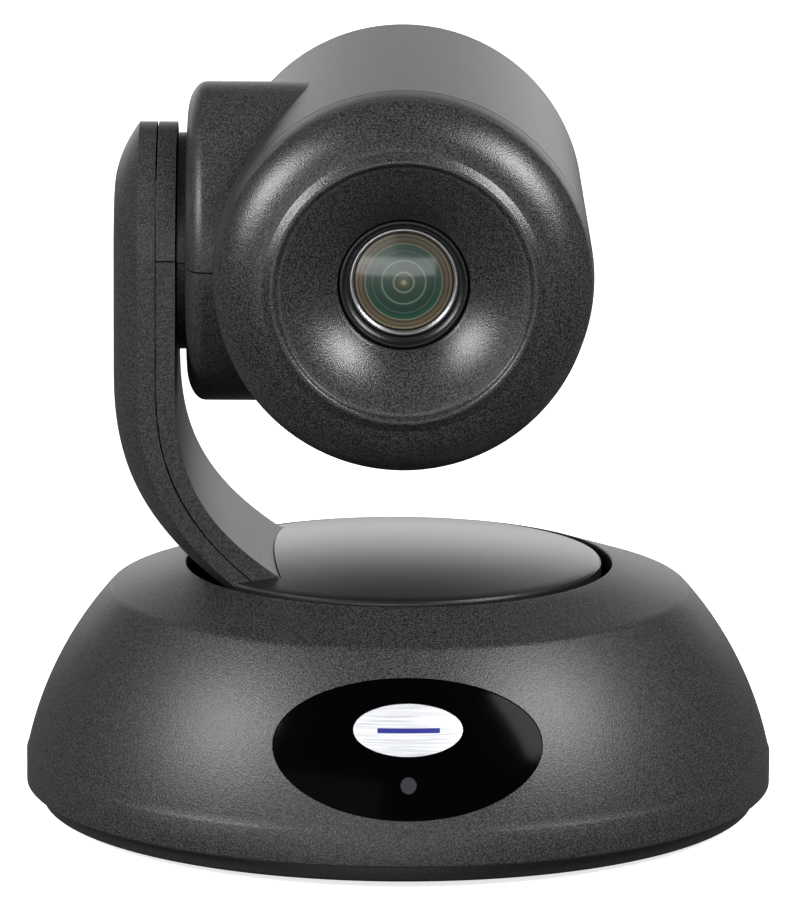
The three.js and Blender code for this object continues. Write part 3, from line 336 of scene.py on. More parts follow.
pan = turn(
    "pan_floor",
    rounded(
        [
            (0, PAN_LOW),
            (PAN_RADIUS, PAN_LOW, 0.8),
            (PAN_RADIUS, COVER_LOW - 0.3, 0.3),
            (PAN_RADIUS - 2.5, COVER_LOW - 0.3, 0.3),
            (PAN_RADIUS - 2.5, PAN_LOW + 2.5, 0.5),
            (0, PAN_LOW + 2.5),
        ]
    ),
)
for angle in CORNERS:
    carve(pan, rod(7.3, -1, PAN_LOW + 1, on_ring(FOOT_RING, angle)))
for angle in SCREW_ANGLES:
    carve(pan, rod(3.5, -1, PAN_LOW + 1.3, on_ring(SCREW_RING, angle)))
    carve(pan, rod(1.8, -1, COVER_LOW, on_ring(SCREW_RING, angle), sides=24))
carve(pan, rod(6.8, -1, COVER_LOW))
fit(pan, powder_coat, "base", "pan_paint", "base_pan")


# ---- Base cover ----------------------------------------------------------------------------------
# The big dome: one ABS moulding with an upright band at the bottom, a rounded flank, a crease at the
# shoulder and a sloping ring down to the turntable opening. Spark-eroded charcoal grain.
def bulge(a, b, rise, steps):
    """Points on a round arc from a to b that stands out to the right of that direction."""
    start, end = Vector(a), Vector(b)
    chord = (end - start).length
    right = Vector((end.y - start.y, start.x - end.x)) / chord
    radius = (chord * chord / 4 + rise * rise) / (2 * rise)
    centre = (start + end) / 2 - right * (radius - rise)
    sweep = (start - centre).angle_signed(end - centre)
    points = []
    for step in range(steps + 1):
        spoke = (start - centre).to_3d()
        spoke.rotate(Matrix.Rotation(-sweep * step / steps, 3, "Z"))
        points.append(tuple(centre + spoke.to_2d()))
    return points


BASE_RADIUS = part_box("base_cover")[1][0] / MM
OPENING_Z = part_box("base_cover")[1][2] / MM
OPENING_RADIUS = 52.84
BAND_TOP = COVER_LOW + 8.1
SHOULDER = (BASE_RADIUS - 21, OPENING_Z - 6.2)
COVER_WALL = 2.4
POCKET_WIDTH = 42
POCKET_Z = (BAND_TOP + 1.5, BAND_TOP + 21.5)
POCKET_FACE = BASE_RADIUS - 26
BADGE_TURN = math.radians(1.45)

# Acrylonitrile-butadiene-styrene, moulded against a spark-eroded steel face: grains of about 0.4 mm,
# drawn as coarse as they need to be to show, break up a dull sheen.
charcoal = grained("charcoal_abs", 0.4, "#0a0a0a", "#404040", 0.42, 0.08)


def dome_line(wall):
    """The outside of the dome, moved in by a wall, from the bottom edge to the opening."""
    flank = bulge(
        (BASE_RADIUS - 0.25 - wall, BAND_TOP + 0.5),
        (SHOULDER[0] - 0.8 * wall, SHOULDER[1] - 0.8 * wall),
        3,
        24,
    )
    return [
        (BASE_RADIUS - 0.5 - wall, COVER_LOW),
        (BASE_RADIUS - wall, COVER_LOW + 0.5),
        (BASE_RADIUS - wall, BAND_TOP),
        *flank[:-1],
    ]


def shoulder_line(wall):
    """The crease at the shoulder, eased a little, and the sloping ring to the opening."""
    top = (SHOULDER[0] - 0.8 * wall, SHOULDER[1] - 0.8 * wall)
    before = bulge((BASE_RADIUS - 0.25 - wall, BAND_TOP + 0.5), top, 3, 24)[-2]
    return rounded([before, (*top, 3.0), (OPENING_RADIUS, OPENING_Z - wall)], 8)[1:-1]


cover = turn(
    "dome_cover",
    [
        *dome_line(0),
        *shoulder_line(0),
        *rounded(
            [
                (OPENING_RADIUS + 3, OPENING_Z - 1),
                (OPENING_RADIUS, OPENING_Z, 0.35),
                (OPENING_RADIUS, OPENING_Z - 5.5, 0.2),
                (OPENING_RADIUS + 2, OPENING_Z - 5.5, 0.2),
                (OPENING_RADIUS + 2, OPENING_Z - 2.6),
            ]
        ),
        *reversed(shoulder_line(COVER_WALL)),
        *reversed(dome_line(COVER_WALL)),
    ],
    steps=256,
)


def dome_solid(wall):
    """The dome filled in, for cutting things to its curve."""
    line = [*dome_line(wall), *shoulder_line(wall), (OPENING_RADIUS, OPENING_Z - wall)]
    return turn("dome", [(0, COVER_LOW), *line, (0, OPENING_Z - wall)], steps=256)


tunnel = block(
    (-POCKET_WIDTH - 2, POCKET_WIDTH + 2),
    (POCKET_FACE + 0.3, BASE_RADIUS + 3),
    (POCKET_Z[0] - 1.5, POCKET_Z[1] + 2),
)
carve(tunnel, dome_solid(0.3), "INTERSECT")
carve(cover, tunnel, "UNION")
pocket = block((-POCKET_WIDTH, POCKET_WIDTH), (POCKET_FACE - 3, BASE_RADIUS + 5), POCKET_Z, 2.5)
carve(cover, pocket)


def front_oval(half_width, low, high, sides=96):
    """An oval bar through the front of the dome, turned to where the badge sits."""
    piece = rod(1, 20, 20 + BASE_RADIUS, (0, (low + high) / 2), "front", sides)
    pick(piece)
    bpy.ops.object.mode_set(mode="EDIT")
    bpy.ops.mesh.select_all(action="SELECT")
    bpy.ops.transform.resize(
        value=(half_width, 1, (high - low) / 2), center_override=(0, 0, (low + high) / 2 * MM)
    )
    bpy.ops.object.mode_set(mode="OBJECT")
    piece.rotation_euler = (0, 0, BADGE_TURN)
    bpy.ops.object.transform_apply(location=False, rotation=True, scale=False)
    return piece


BADGE_WIDTH = 32.3
BADGE_Z = (PAN_LOW + 16, PAN_LOW + 47.3)
recess = front_oval(BADGE_WIDTH + 0.25, BADGE_Z[0] - 0.25, BADGE_Z[1] + 0.25)
carve(recess, dome_solid(1.6))
carve(cover, recess)
fit(cover, charcoal, "base", "shell_charcoal", "base_cover")


# ---- Badge window --------------------------------------------------------------------------------
# A polished black acrylic oval that follows the dome, let into it flush. It hides the status light
# and the remote control's sensor.
black_acrylic, acrylic_shader = principled("black_acrylic", Roughness=0.12)
acrylic_shader.inputs["Base Color"].default_value = srgb("#020203")
acrylic_shader.inputs["Specular IOR Level"].default_value = 0.03

window = front_oval(BADGE_WIDTH, *BADGE_Z)
carve(window, dome_solid(-0.15), "INTERSECT")
carve(window, dome_solid(1.3))
PLATE_WIDTH = 13.15
PLATE_Z = (PAN_LOW + 30.5, PAN_LOW + 42)
LIGHT_Z = PAN_LOW + 24
plate_seat = front_oval(PLATE_WIDTH + 0.35, PLATE_Z[0] - 0.35, PLATE_Z[1] + 0.35, 64)
carve(plate_seat, dome_solid(0.6))
carve(window, plate_seat)
carve(window, front_oval(2.1, LIGHT_Z - 2.1, LIGHT_Z + 2.1, 32))
fit(window, black_acrylic, "base", "window_gloss", "badge_window")


# ---- Nameplate -----------------------------------------------------------------------------------
# A small oval of brushed aluminium glued into the window, blank but for a plain blue line.
brushed, brushed_shader = principled("brushed_aluminium", Metallic=0.4, Roughness=0.4)
brush = brushed.node_tree
brush_place = add_node(brush, "ShaderNodeTexCoord")
stretch = add_node(
    brush, "ShaderNodeMapping", {"Scale": (90, 90, 3300)}, {"Vector": brush_place.outputs["Object"]}
)
strokes = add_node(
    brush,
    "ShaderNodeTexNoise",
    {"Scale": 1.0, "Detail": 2.0},
    {"Vector": stretch.outputs["Vector"]},
)
shine = add_node(brush, "ShaderNodeValToRGB", None, {"Fac": strokes.outputs["Fac"]})
shine.color_ramp.elements[0].color = srgb("#c4c6ca")
shine.color_ramp.elements[0].position = 0.3
shine.color_ramp.elements[1].color = srgb("#f0f1f4")
shine.color_ramp.elements[1].position = 0.7
# A plain dark blue line is printed across the middle of the plate.
spot = add_node(brush, "ShaderNodeSeparateXYZ", None, {"Vector": brush_place.outputs["Object"]})
line_x = (BASE_RADIUS - 4) * math.sin(BADGE_TURN) * MM
line_z = sum(PLATE_Z) / 2 * MM
along = add_node(
    brush,
    "ShaderNodeMath",
    {1: line_x, 2: 7.5 * MM},
    {0: spot.outputs["X"]},
    operation="COMPARE",
)
up = add_node(
    brush,
    "ShaderNodeMath",
    {1: line_z, 2: 0.55 * MM},
    {0: spot.outputs["Z"]},
    operation="COMPARE",
)
printed = add_node(
    brush,
    "ShaderNodeMath",
    None,
    {0: along.outputs["Value"], 1: up.outputs["Value"]},
    operation="MULTIPLY",
)
ink = add_node(
    brush,
    "ShaderNodeMix",
    {7: srgb("#2b2f86")},
    {0: printed.outputs["Value"], 6: shine.outputs["Color"]},
    data_type="RGBA",
)
brush.links.new(ink.outputs[2], brushed_shader.inputs["Base Color"])
plate = front_oval(PLATE_WIDTH, *PLATE_Z, 64)
carve(plate, dome_solid(-0.25), "INTERSECT")
carve(plate, dome_solid(0.3))
plate.name = "name_oval"
fit(plate, brushed, "base", "nameplate_metal", "nameplate")


# ---- Status light --------------------------------------------------------------------------------
# A small lens of smoked polycarbonate in the lower part of the window, lit from the board behind it.
smoked, smoked_shader = principled("smoked_polycarbonate", Roughness=0.25)
smoked_shader.inputs["Base Color"].default_value = srgb("#2c2d30")
status = front_oval(1.9, LIGHT_Z - 1.9, LIGHT_Z + 1.9, 32)
carve(status, dome_solid(-0.2), "INTERSECT")
carve(status, dome_solid(0.9))
status.name = "status_light"
fit(status, smoked, "base", "status_lens", "indicator_lens")


# ---- Feet ----------------------------------------------------------------------------------------
# Four die-cut pads of black neoprene in round recesses, with a turned ring for grip.
neoprene = grained("neoprene_rubber", 0.6, "#131313", "#1f1f1f", 0.8, 0.05)
for number, angle in enumerate(CORNERS):
    pad = turn(
        f"foot_pad_{number + 1}",
        rounded(
            [
                (0, 0.35),
                (4.8, 0.35, 0.1),
                (5.2, 0, 0.1),
                (6.7, 0, 0.3),
                (7, 0.5, 0.2),
                (7, PAN_LOW + 0.7),
                (0, PAN_LOW + 0.7),
            ],
            3,
        ),
        centre=(*on_ring(FOOT_RING, angle), 0),
        steps=64,
    )
    fit(pad, neoprene, "base", "foot_rubber", f"foot_{number + 1}")


# ---- Cover screws --------------------------------------------------------------------------------
# Four pan-head screws of zinc-plated steel, driven from below into the posts of the cover.
def machined(name, colour, roughness, grain=0.15):
    """Bare or plated metal: its gloss varies from place to place as its tool marks do."""
    material, shader = principled(name, Metallic=1.0)
    tree = material.node_tree
    place = add_node(tree, "ShaderNodeTexCoord")
    marks = add_node(
        tree,
        "ShaderNodeTexNoise",
        {"Scale": 1 / (grain * MM), "Detail": 2.0},
        {"Vector": place.outputs["Object"]},
    )
    gloss = add_node(
        tree,
        "ShaderNodeMapRange",
        {"To Min": roughness - 0.08, "To Max": roughness + 0.08},
        {"Value": marks.outputs["Fac"]},
    )
    shader.inputs["Base Color"].default_value = srgb(colour)
    tree.links.new(gloss.outputs["Result"], shader.inputs["Roughness"])
    return material


zinc = machined("zinc_plated_steel", "#b9bcc0", 0.32)
for number, angle in enumerate(SCREW_ANGLES):
    at = on_ring(SCREW_RING, angle)
    screw = turn(
        f"pan_head_{number + 1}",
        rounded(
            [
                (0, PAN_LOW - 0.4),
                (3.2, PAN_LOW - 0.4, 0.5),
                (3.2, PAN_LOW + 1, 0.1),
                (1.5, PAN_LOW + 1, 0.1),
                (1.5, COVER_LOW + 7.4),
                (0.9, COVER_LOW + 8),
                (0, COVER_LOW + 8),
            ],
            4,
        ),
        centre=(*at, 0),
        steps=48,
    )
    for x, y in ((1.8, 0.4), (0.4, 1.8)):
        slot = block((at[0] - x, at[0] + x), (at[1] - y, at[1] + y), (0, PAN_LOW + 0.5))
        carve(screw, slot)
    fit(screw, zinc, "base", "inner_steel", f"cover_screw_{number + 1}")


# ---- Tripod insert -------------------------------------------------------------------------------
# A turned brass bush pressed into the pan from above, threaded inside for a quarter-inch screw.
turned_brass = machined("turned_brass", "#b08d4a", 0.3)
THREAD_PITCH = 1.27
thread = [(3.15, PAN_LOW), (3.15, PAN_LOW + 0.4)]
for ridge in range(6):
    low = PAN_LOW + 0.4 + ridge * THREAD_PITCH
    thread += [(2.6, low + 0.45), (2.6, low + 0.62), (3.15, low + 1.07), (3.15, low + THREAD_PITCH)]
insert = turn(
    "tripod_bush",
    [
        *thread,
        (0, PAN_LOW + 8.1),
        (0, PAN_LOW + 10),
        (6.5, PAN_LOW + 10),
        (6.5, PAN_LOW + 4.3),
        (8, PAN_LOW + 4.3),
        (8, PAN_LOW + 2.8),
        (6.5, PAN_LOW + 2.8),
        (6.5, PAN_LOW),
    ],
    steps=72,
)
fit(insert, turned_brass, "base", "brass", "tripod_insert")


# ---- Connector plate and sockets -----------------------------------------------------------------
# A black steel plate closes the pocket at the back. Through it stand the sockets of the main board:
# power, network, serial control, USB and video, with nickel shells or black housings.
SOCKET_LOW = POCKET_Z[0] + 1.2
SOCKET_FRONT = POCKET_FACE + 0.6
LATCH_STEPS = ((3.2, 1.3), (1.9, 2.2))
CONTACTS = 8
CONTACT_PITCH = 1.02
nickel_shell = machined("nickel_plated_shell", "#c6c7c9", 0.3)
gold_plate = machined("gold_plated_contact", "#d9b25a", 0.25)
housing = grained("black_nylon", 0.3, "#0d0d0d", "#1a1a1a", 0.5, 0.02)
# Name, place across, width, height, depth, size of the mouth (none where it is round) and finish.
SOCKETS = (
    ("power_jack", -35.5, 9, 11, 14, None, housing),
    ("network_jack", -21, 16, 13.5, 16, (11.8, 8), nickel_shell),
    ("control_jack", -3, 16, 13.5, 16, (11.8, 8), housing),
    ("usb_jack", 13, 12, 11, 16, (8.5, 7.8), nickel_shell),
    ("video_jack", 28.5, 15, 8, 12, (13.6, 4.7), nickel_shell),
)
panel = block(
    (-POCKET_WIDTH - 1.5, POCKET_WIDTH + 1.5),
    (POCKET_FACE - 1.5, POCKET_FACE),
    (POCKET_Z[0] - 1, POCKET_Z[1] + 1.5),
    0.3,
    "socket_panel",
)
for name, x, width, height, depth, mouth, finish in SOCKETS:
    half = width / 2
    top = SOCKET_LOW + height
    gap = block((x - half - 0.3, x + half + 0.3), (50, 90), (SOCKET_LOW - 0.3, top + 0.3))
    carve(panel, gap)
    deep = SOCKET_FRONT - depth
    middle = SOCKET_LOW + height / 2
    body = block((x - half, x + half), (deep, SOCKET_FRONT), (SOCKET_LOW, top), 0.4, f"{name}_body")
    if mouth is None:
        carve(body, rod(3.3, -SOCKET_FRONT - 1, -deep - 2, (x, middle), "front", 40))
        pin = rod(0.95, -SOCKET_FRONT + 3, -deep - 1.5, (x, middle), "front", 24)
        pin.name = "power_pin"
        fit(pin, nickel_shell, "base", "inner_steel")
        fit(body, finish, "base", "black_plastic", name)
        continue
    wide, high = mouth[0] / 2, mouth[1] / 2
    hole = block((x - wide, x + wide), (deep + 2, SOCKET_FRONT + 1), (middle - high, middle + high))
    carve(body, hole)
    if name in ("network_jack", "control_jack"):
        for reach, rise in LATCH_STEPS:
            latch = block(
                (x - reach, x + reach), (deep + 3, SOCKET_FRONT + 1), (middle - high - rise, middle)
            )
            carve(body, latch)
        for number in range(CONTACTS):
            left = x - 3.8 + number * CONTACT_PITCH
            contact = block(
                (left, left + 0.45),
                (deep + 3, SOCKET_FRONT - 3),
                (middle + high - 0.9, middle + high),
            )
            contact.name = f"{name}_contact_{number + 1}"
            fit(contact, gold_plate, "base", "brass")
    else:
        thick = 1.0 if name == "usb_jack" else 0.6
        tongue = block(
            (x - wide + 1.5, x + wide - 1.5),
            (deep + 1.5, SOCKET_FRONT - 2),
            (middle - thick, middle + thick),
            0.2,
            f"{name}_tongue",
        )
        fit(tongue, housing, "base", "black_plastic")
    fit(body, finish, "base", "black_plastic", name)
    # Inside its shell each socket is black nylon.
    body.data.materials.append(housing)
    for face in body.data.polygons:
        across, inward, up = (face.center[i] / MM for i in range(3))
        if abs(across - x) < wide + 0.1 and abs(up - middle) < high + 2.3 and inward < SOCKET_FRONT - 0.1:
            face.material_index = 1 if inward > deep + 1 else 0
fit(panel, powder_coat, "base", "black_plastic", "connector_plate")


# ---- Turntable disc ------------------------------------------------------------------------------
# A shallow domed ABS cap that turns inside the opening of the base, cut away where the arm stands.
# Its top is finer grained than the dome, with a soft satin gloss.
OPENING_GAP = 2.64
DISC_RADIUS = OPENING_RADIUS - OPENING_GAP
DISC_EDGE_Z = OPENING_Z + 0.5
HUB_TOP = OPENING_Z - 3.8
ARM_HALF_DEPTH = 29.35
ARM_FOOT_Z = HUB_TOP + 0.7
TILT_Z = PAN_LOW + 140.3
ARM_BEND_Z = OPENING_Z + 52.2
NECK_END_X = -54.6
ARM_INNER_X = NECK_END_X - 0.4
ARM_SEAM_X = ARM_INNER_X - 4.8
ARM_CREASE_X = ARM_SEAM_X - 4.5
FOOT_SHIFT = 23.9 - DISC_RADIUS - ARM_INNER_X


def curve_in(z, reach, power):
    """How far the arm has come in at a height: nothing above the bend, all of it at the disc."""
    return reach * max(0, (ARM_BEND_Z - z) / (ARM_BEND_Z - OPENING_Z)) ** power


def inner_face(z):
    return ARM_INNER_X + curve_in(z, FOOT_SHIFT, 3)


def seam_face(z):
    return ARM_SEAM_X + curve_in(z, FOOT_SHIFT - 4, 2.65)


def crease_face(z):
    return ARM_CREASE_X + curve_in(z, FOOT_SHIFT - 5.4, 2.67)


def prism(outline, y):
    """A straight-sided piece whose outline is drawn in (x, z) and runs from one y to another."""
    points = [(x * MM, y[0] * MM, z * MM) for x, z in outline]
    piece = outline_mesh("prism", points)
    bpy.ops.mesh.select_all(action="SELECT")
    bpy.ops.mesh.edge_face_add()
    bpy.ops.mesh.extrude_region_move(TRANSFORM_OT_translate={"value": (0, (y[1] - y[0]) * MM, 0)})
    return finish_mesh(piece)


satin_charcoal = grained("satin_charcoal_abs", 0.25, "#101010", "#242424", 0.3, 0.02)
disc = turn(
    "disc_cap",
    [
        *reversed(bulge((DISC_RADIUS - 1.2, DISC_EDGE_Z + 0.25), (0, DISC_EDGE_Z + 4.5), 1.12, 24)),
        (DISC_RADIUS - 0.5, DISC_EDGE_Z),
        (DISC_RADIUS - 0.1, DISC_EDGE_Z - 0.5),
        (DISC_RADIUS, DISC_EDGE_Z - 1.2),
        (DISC_RADIUS, HUB_TOP + 0.6),
        (DISC_RADIUS - 2, HUB_TOP + 0.6),
        *bulge((DISC_RADIUS - 2, DISC_EDGE_Z - 1.75), (0, DISC_EDGE_Z + 2.5), 1.12, 24),
    ],
    steps=224,
)
disc_slot = [(inner_face(z) + 0.5, z) for z in (54, 56, 58, 60, 62, 64, 66, 69)]
carve(disc, prism(disc_slot + [(-92, 69), (-92, 54)], (-ARM_HALF_DEPTH - 0.5, ARM_HALF_DEPTH + 0.5)))
fit(disc, satin_charcoal, "turntable", "shell_charcoal", "turntable_disc")


# ---- Arm covers ----------------------------------------------------------------------------------
# The arm is a steel bracket inside two halves of charcoal ABS. The outer half has a pillowed face;
# the inner one is in two pieces that meet at the height of the tilt shaft.
ARM_CROWN = 6.2
CROWN_REACH = 17
COLUMNS = 28


def arm_stations(low, high):
    """Heights down the arm: even along its curve, closer together round its round top."""
    bend = [low + (ARM_BEND_Z - low) * i / 40 for i in range(41)]
    return bend + [ARM_BEND_Z + 14] + [
        TILT_Z + (high - TILT_Z) * math.sin(math.pi / 2 * i / 26) for i in range(27)
    ]


def half_depth(z, radius):
    """Half the arm's depth at a height, on a side view with a round top."""
    return radius if z <= TILT_Z else math.sqrt(max(0.01, radius**2 - (z - TILT_Z) ** 2))


def loft(name, rings):
    """A closed skin through rings of points, drawn as a grid whose rows are then set in place."""
    bpy.ops.object.select_all(action="DESELECT")
    bpy.ops.mesh.primitive_grid_add(x_subdivisions=len(rings[0]), y_subdivisions=len(rings) - 1)
    piece = bpy.context.object
    piece.name = name
    across = len(rings[0]) + 1
    for number, vertex in enumerate(piece.data.vertices):
        row, column = divmod(number, across)
        vertex.co = Vector(rings[row][column % len(rings[0])]) * MM
    bpy.ops.object.mode_set(mode="EDIT")
    bpy.ops.mesh.select_all(action="SELECT")
    bpy.ops.mesh.remove_doubles(threshold=2e-6)
    bpy.ops.mesh.select_all(action="DESELECT")
    bpy.ops.mesh.select_mode(type="EDGE")
    bpy.ops.mesh.select_non_manifold()
    bpy.ops.mesh.edge_face_add()
    bpy.ops.mesh.select_mode(type="VERT")
    return finish_mesh(piece)


def outer_half(wall, low, overlap, name="outer"):
    """The outer half of the arm, from its seam to its pillowed face, moved in by a wall."""
    radius = ARM_HALF_DEPTH - wall
    rings = []
    for z in arm_stations(low, TILT_Z + radius):
        half = half_depth(z, radius)
        seam = seam_face(z) + overlap
        ring = [(seam, -half, z)]
        for i in range(COLUMNS + 1):
            y = -half * math.cos(math.pi * i / COLUMNS)
            edge = radius - math.hypot(y, max(0, z - TILT_Z))
            rise = min(1, max(0, edge) / CROWN_REACH)
            ring.append((crease_face(z) - ARM_CROWN * (1 - (1 - rise) ** 2) + wall, y, z))
        ring.append((seam, half, z))
        rings.append(ring)
    return loft(name, rings)


def inner_half(wall, low, overlap, name="inner"):
    """The inner half: a band between the seam and the face beside the head."""
    radius = ARM_HALF_DEPTH - wall
    rings = []
    for z in arm_stations(low, TILT_Z + radius):
        half = half_depth(z, radius)
        near, far = seam_face(z) - overlap, inner_face(z) - 1.15 * wall
        rings.append([(near, -half, z), (far, -half, z), (far, half, z), (near, half, z)])
    return loft(name, rings)


def soften(piece, width):
    """Rounds a piece's sharp edges a little, as a moulding's are."""
    pick(piece)
    change = piece.modifiers.new("soften", "BEVEL")
    change.limit_method = "ANGLE"
    change.angle_limit = math.radians(50)
    change.width = width * MM
    change.segments = 2
    bpy.ops.object.modifier_apply(modifier=change.name)
    return piece


def twin(piece, name):
    """A copy of a piece with its own mesh."""
    other = piece.copy()
    other.data = piece.data.copy()
    bpy.context.scene.collection.objects.link(other)
    other.name = name
    return other


arm_outer = outer_half(0, ARM_FOOT_Z, -0.2, "arm_outside")
soften(arm_outer, 0.35)
carve(arm_outer, outer_half(2.4, ARM_FOOT_Z - 1, 1))
fit(arm_outer, charcoal, "turntable", "shell_charcoal", "arm_outer_cover")

arm_inner = inner_half(0, ARM_FOOT_Z, -0.2, "arm_inside")
soften(arm_inner, 0.35)
carve(arm_inner, inner_half(2.4, ARM_FOOT_Z - 1, 1))
carve(arm_inner, rod(9, 50, 66, (0, TILT_Z), "arm"))
wire_way = inner_face(OPENING_Z)
carve(arm_inner, block((wire_way - 9, wire_way + 9), (16, 23), (50, HUB_TOP + 4.4)))
arm_upper = twin(arm_inner, "arm_inside_upper")
carve(arm_upper, block((-90, 0), (-60, 60), (TILT_Z + 0.17, 240)), "INTERSECT")
carve(arm_inner, block((-90, 0), (-60, 60), (20, TILT_Z - 0.17)), "INTERSECT")
arm_inner.name = "arm_inside_lower"
fit(arm_upper, charcoal, "turntable", "shell_charcoal", "arm_upper_inner_cover")
fit(arm_inner, charcoal, "turntable", "shell_charcoal", "arm_lower_inner_cover")


# ---- Head shells ---------------------------------------------------------------------------------
# Two charcoal ABS shells that meet just below the tilt axis. Each is half a barrel with half of the
# round boss and neck that reach out to the arm.
BARREL_X = 0.6
BARREL_RADIUS = 46
BARREL_FRONT = 51
SHELL_BACK = 56
BARREL_TAPER = 0.7
BOSS_RADIUS = 39.3
BOSS_CREASE = 47.9
BOSS_END = 52.5
NECK_RADIUS = 26.7
HEAD = (BARREL_X, 0, TILT_Z)


def barrel_solid(wall, front, back):
    profile = [
        (0, front),
        (BARREL_RADIUS - wall, front),
        (BARREL_RADIUS - BARREL_TAPER - wall, -back),
        (0, -back),
    ]
    return turn("barrel", profile, "front", HEAD, steps=224)


def boss_solid(wall):
    shoulder = []
    for i in range(13):
        angle = math.pi / 2 * i / 12
        radius = BOSS_RADIUS - 8.3 * (1 - math.cos(angle))
        shoulder.append((radius - wall, BOSS_CREASE + (BOSS_END - BOSS_CREASE) * math.sin(angle) - wall))
    neck_end = -NECK_END_X + (2 if wall else 0)
    profile = [
        (0, -11),
        (BOSS_RADIUS - wall, -11),
        *shoulder,
        (NECK_RADIUS - wall, BOSS_END - wall),
        (NECK_RADIUS - wall, neck_end),
        (0, neck_end),
    ]
    return turn("boss", profile, "arm", (0, 0, TILT_Z), steps=192)


SPLIT_Z = TILT_Z - 1
outside = carve(barrel_solid(0, BARREL_FRONT, SHELL_BACK), boss_solid(0), "UNION")
hollow = carve(barrel_solid(2.4, BARREL_FRONT + 5, SHELL_BACK + 5), boss_solid(2.4), "UNION")
lower_shell = twin(outside, "head_bottom")
shell = outside
shell.name = "head_top"
carve(shell, block((-90, 90), (-90, 90), (SPLIT_Z + 0.17, 240)), "INTERSECT")
carve(lower_shell, block((-90, 90), (-90, 90), (60, SPLIT_Z - 0.17)), "INTERSECT")
carve(shell, twin(hollow, "hollow_top"))
carve(lower_shell, hollow)
fit(shell, charcoal, "head", "shell_charcoal", "head_upper_shell")
fit(lower_shell, charcoal, "head", "shell_charcoal", "head_lower_shell")


# ---- Rear cap ------------------------------------------------------------------------------------
# A round ABS cap with a generous rounded edge, pressed into the back of the barrel.
BARREL_BACK = 61
cap_radius = BARREL_RADIUS - BARREL_TAPER
cap_front = -SHELL_BACK - 0.3
cap = turn(
    "barrel_cap",
    rounded(
        [
            (0, -BARREL_BACK),
            (cap_radius, -BARREL_BACK, 4.5),
            (cap_radius, cap_front, 0.25),
            (cap_radius - 2.7, cap_front, 0.2),
            (cap_radius - 2.7, cap_front + 3, 0.3),
            (cap_radius - 4.3, cap_front + 3, 0.3),
            (cap_radius - 4.3, -BARREL_BACK + 2.4),
            (0, -BARREL_BACK + 2.4),
        ],
        8,
    ),
    "front",
    HEAD,
    steps=224,
)
fit(cap, charcoal, "head", "shell_charcoal", "rear_cap")


# ---- Trim ring -----------------------------------------------------------------------------------
# A narrow ring between the shells and the bezel that locks the two shells together.
BAND_FRONT = BARREL_FRONT + 9
FACE_RADIUS = BARREL_RADIUS - 0.8
trim = turn(
    "lock_ring",
    rounded(
        [
            (FACE_RADIUS - 1.2, BAND_FRONT - 0.3),
            (FACE_RADIUS, BAND_FRONT - 0.3, 0.25),
            (BARREL_RADIUS, BARREL_FRONT + 0.3, 0.25),
            (BARREL_RADIUS - 2.4, BARREL_FRONT + 0.3, 0.2),
            (FACE_RADIUS - 2.4, BAND_FRONT - 0.3, 0.2),
            (FACE_RADIUS - 1.2, BAND_FRONT - 0.3),
        ],
        3,
    )[:-1],
    "front",
    HEAD,
    steps=224,
)
fit(trim, charcoal, "head", "shell_charcoal", "trim_ring")


# ---- Front bezel ---------------------------------------------------------------------------------
# The face of the head: a rounded outer ring, a small rounded lip on its ridge, and a shallow dish
# that runs down to the lens. Its grain is the shells' own, with a glossier finish.
polished_charcoal = grained("fine_textured_charcoal_abs", 0.4, "#0a0a0a", "#404040", 0.3, 0.08)
RIDGE_RADIUS = 31.9
RIDGE_FRONT = BAND_FRONT + 9.8
DISH_FRONT = BAND_FRONT - 0.3
LENS_HOLE = 16
bezel = turn(
    "face_ring",
    [
        (LENS_HOLE, DISH_FRONT - 2.2),
        (LENS_HOLE, DISH_FRONT - 0.3),
        (LENS_HOLE + 0.12, DISH_FRONT - 0.05),
        *bulge((RIDGE_RADIUS - 2.3, RIDGE_FRONT - 1.47), (LENS_HOLE + 0.4, DISH_FRONT + 0.15), 1.1, 28)[::-1],
        *rounded(
            [
                (RIDGE_RADIUS - 2.2, RIDGE_FRONT - 1.45),
                (RIDGE_RADIUS - 1.4, RIDGE_FRONT - 1.4, 0.5),
                (RIDGE_RADIUS - 0.8, RIDGE_FRONT + 0.3, 0.75),
                (RIDGE_RADIUS + 0.3, RIDGE_FRONT + 0.2, 0.75),
                (RIDGE_RADIUS + 1.2, RIDGE_FRONT - 0.6, 0.5),
                (RIDGE_RADIUS + 2.1, RIDGE_FRONT - 1.15),
            ],
            8,
        ),
        *bulge((FACE_RADIUS, BAND_FRONT + 0.5), (RIDGE_RADIUS + 2.15, RIDGE_FRONT - 1.2), 1.6, 32)[::-1],
        (FACE_RADIUS - 0.05, BAND_FRONT + 0.1),
        (FACE_RADIUS - 0.2, BAND_FRONT),
        (FACE_RADIUS - 2.4, BAND_FRONT),
        (FACE_RADIUS - 3, BAND_FRONT + 0.6),
        (RIDGE_RADIUS, RIDGE_FRONT - 3),
        (LENS_HOLE + 1.5, DISH_FRONT - 2.2),
    ],
    "front",
    HEAD,
    steps=256,
)
fit(bezel, polished_charcoal, "head", "shell_charcoal", "front_bezel")


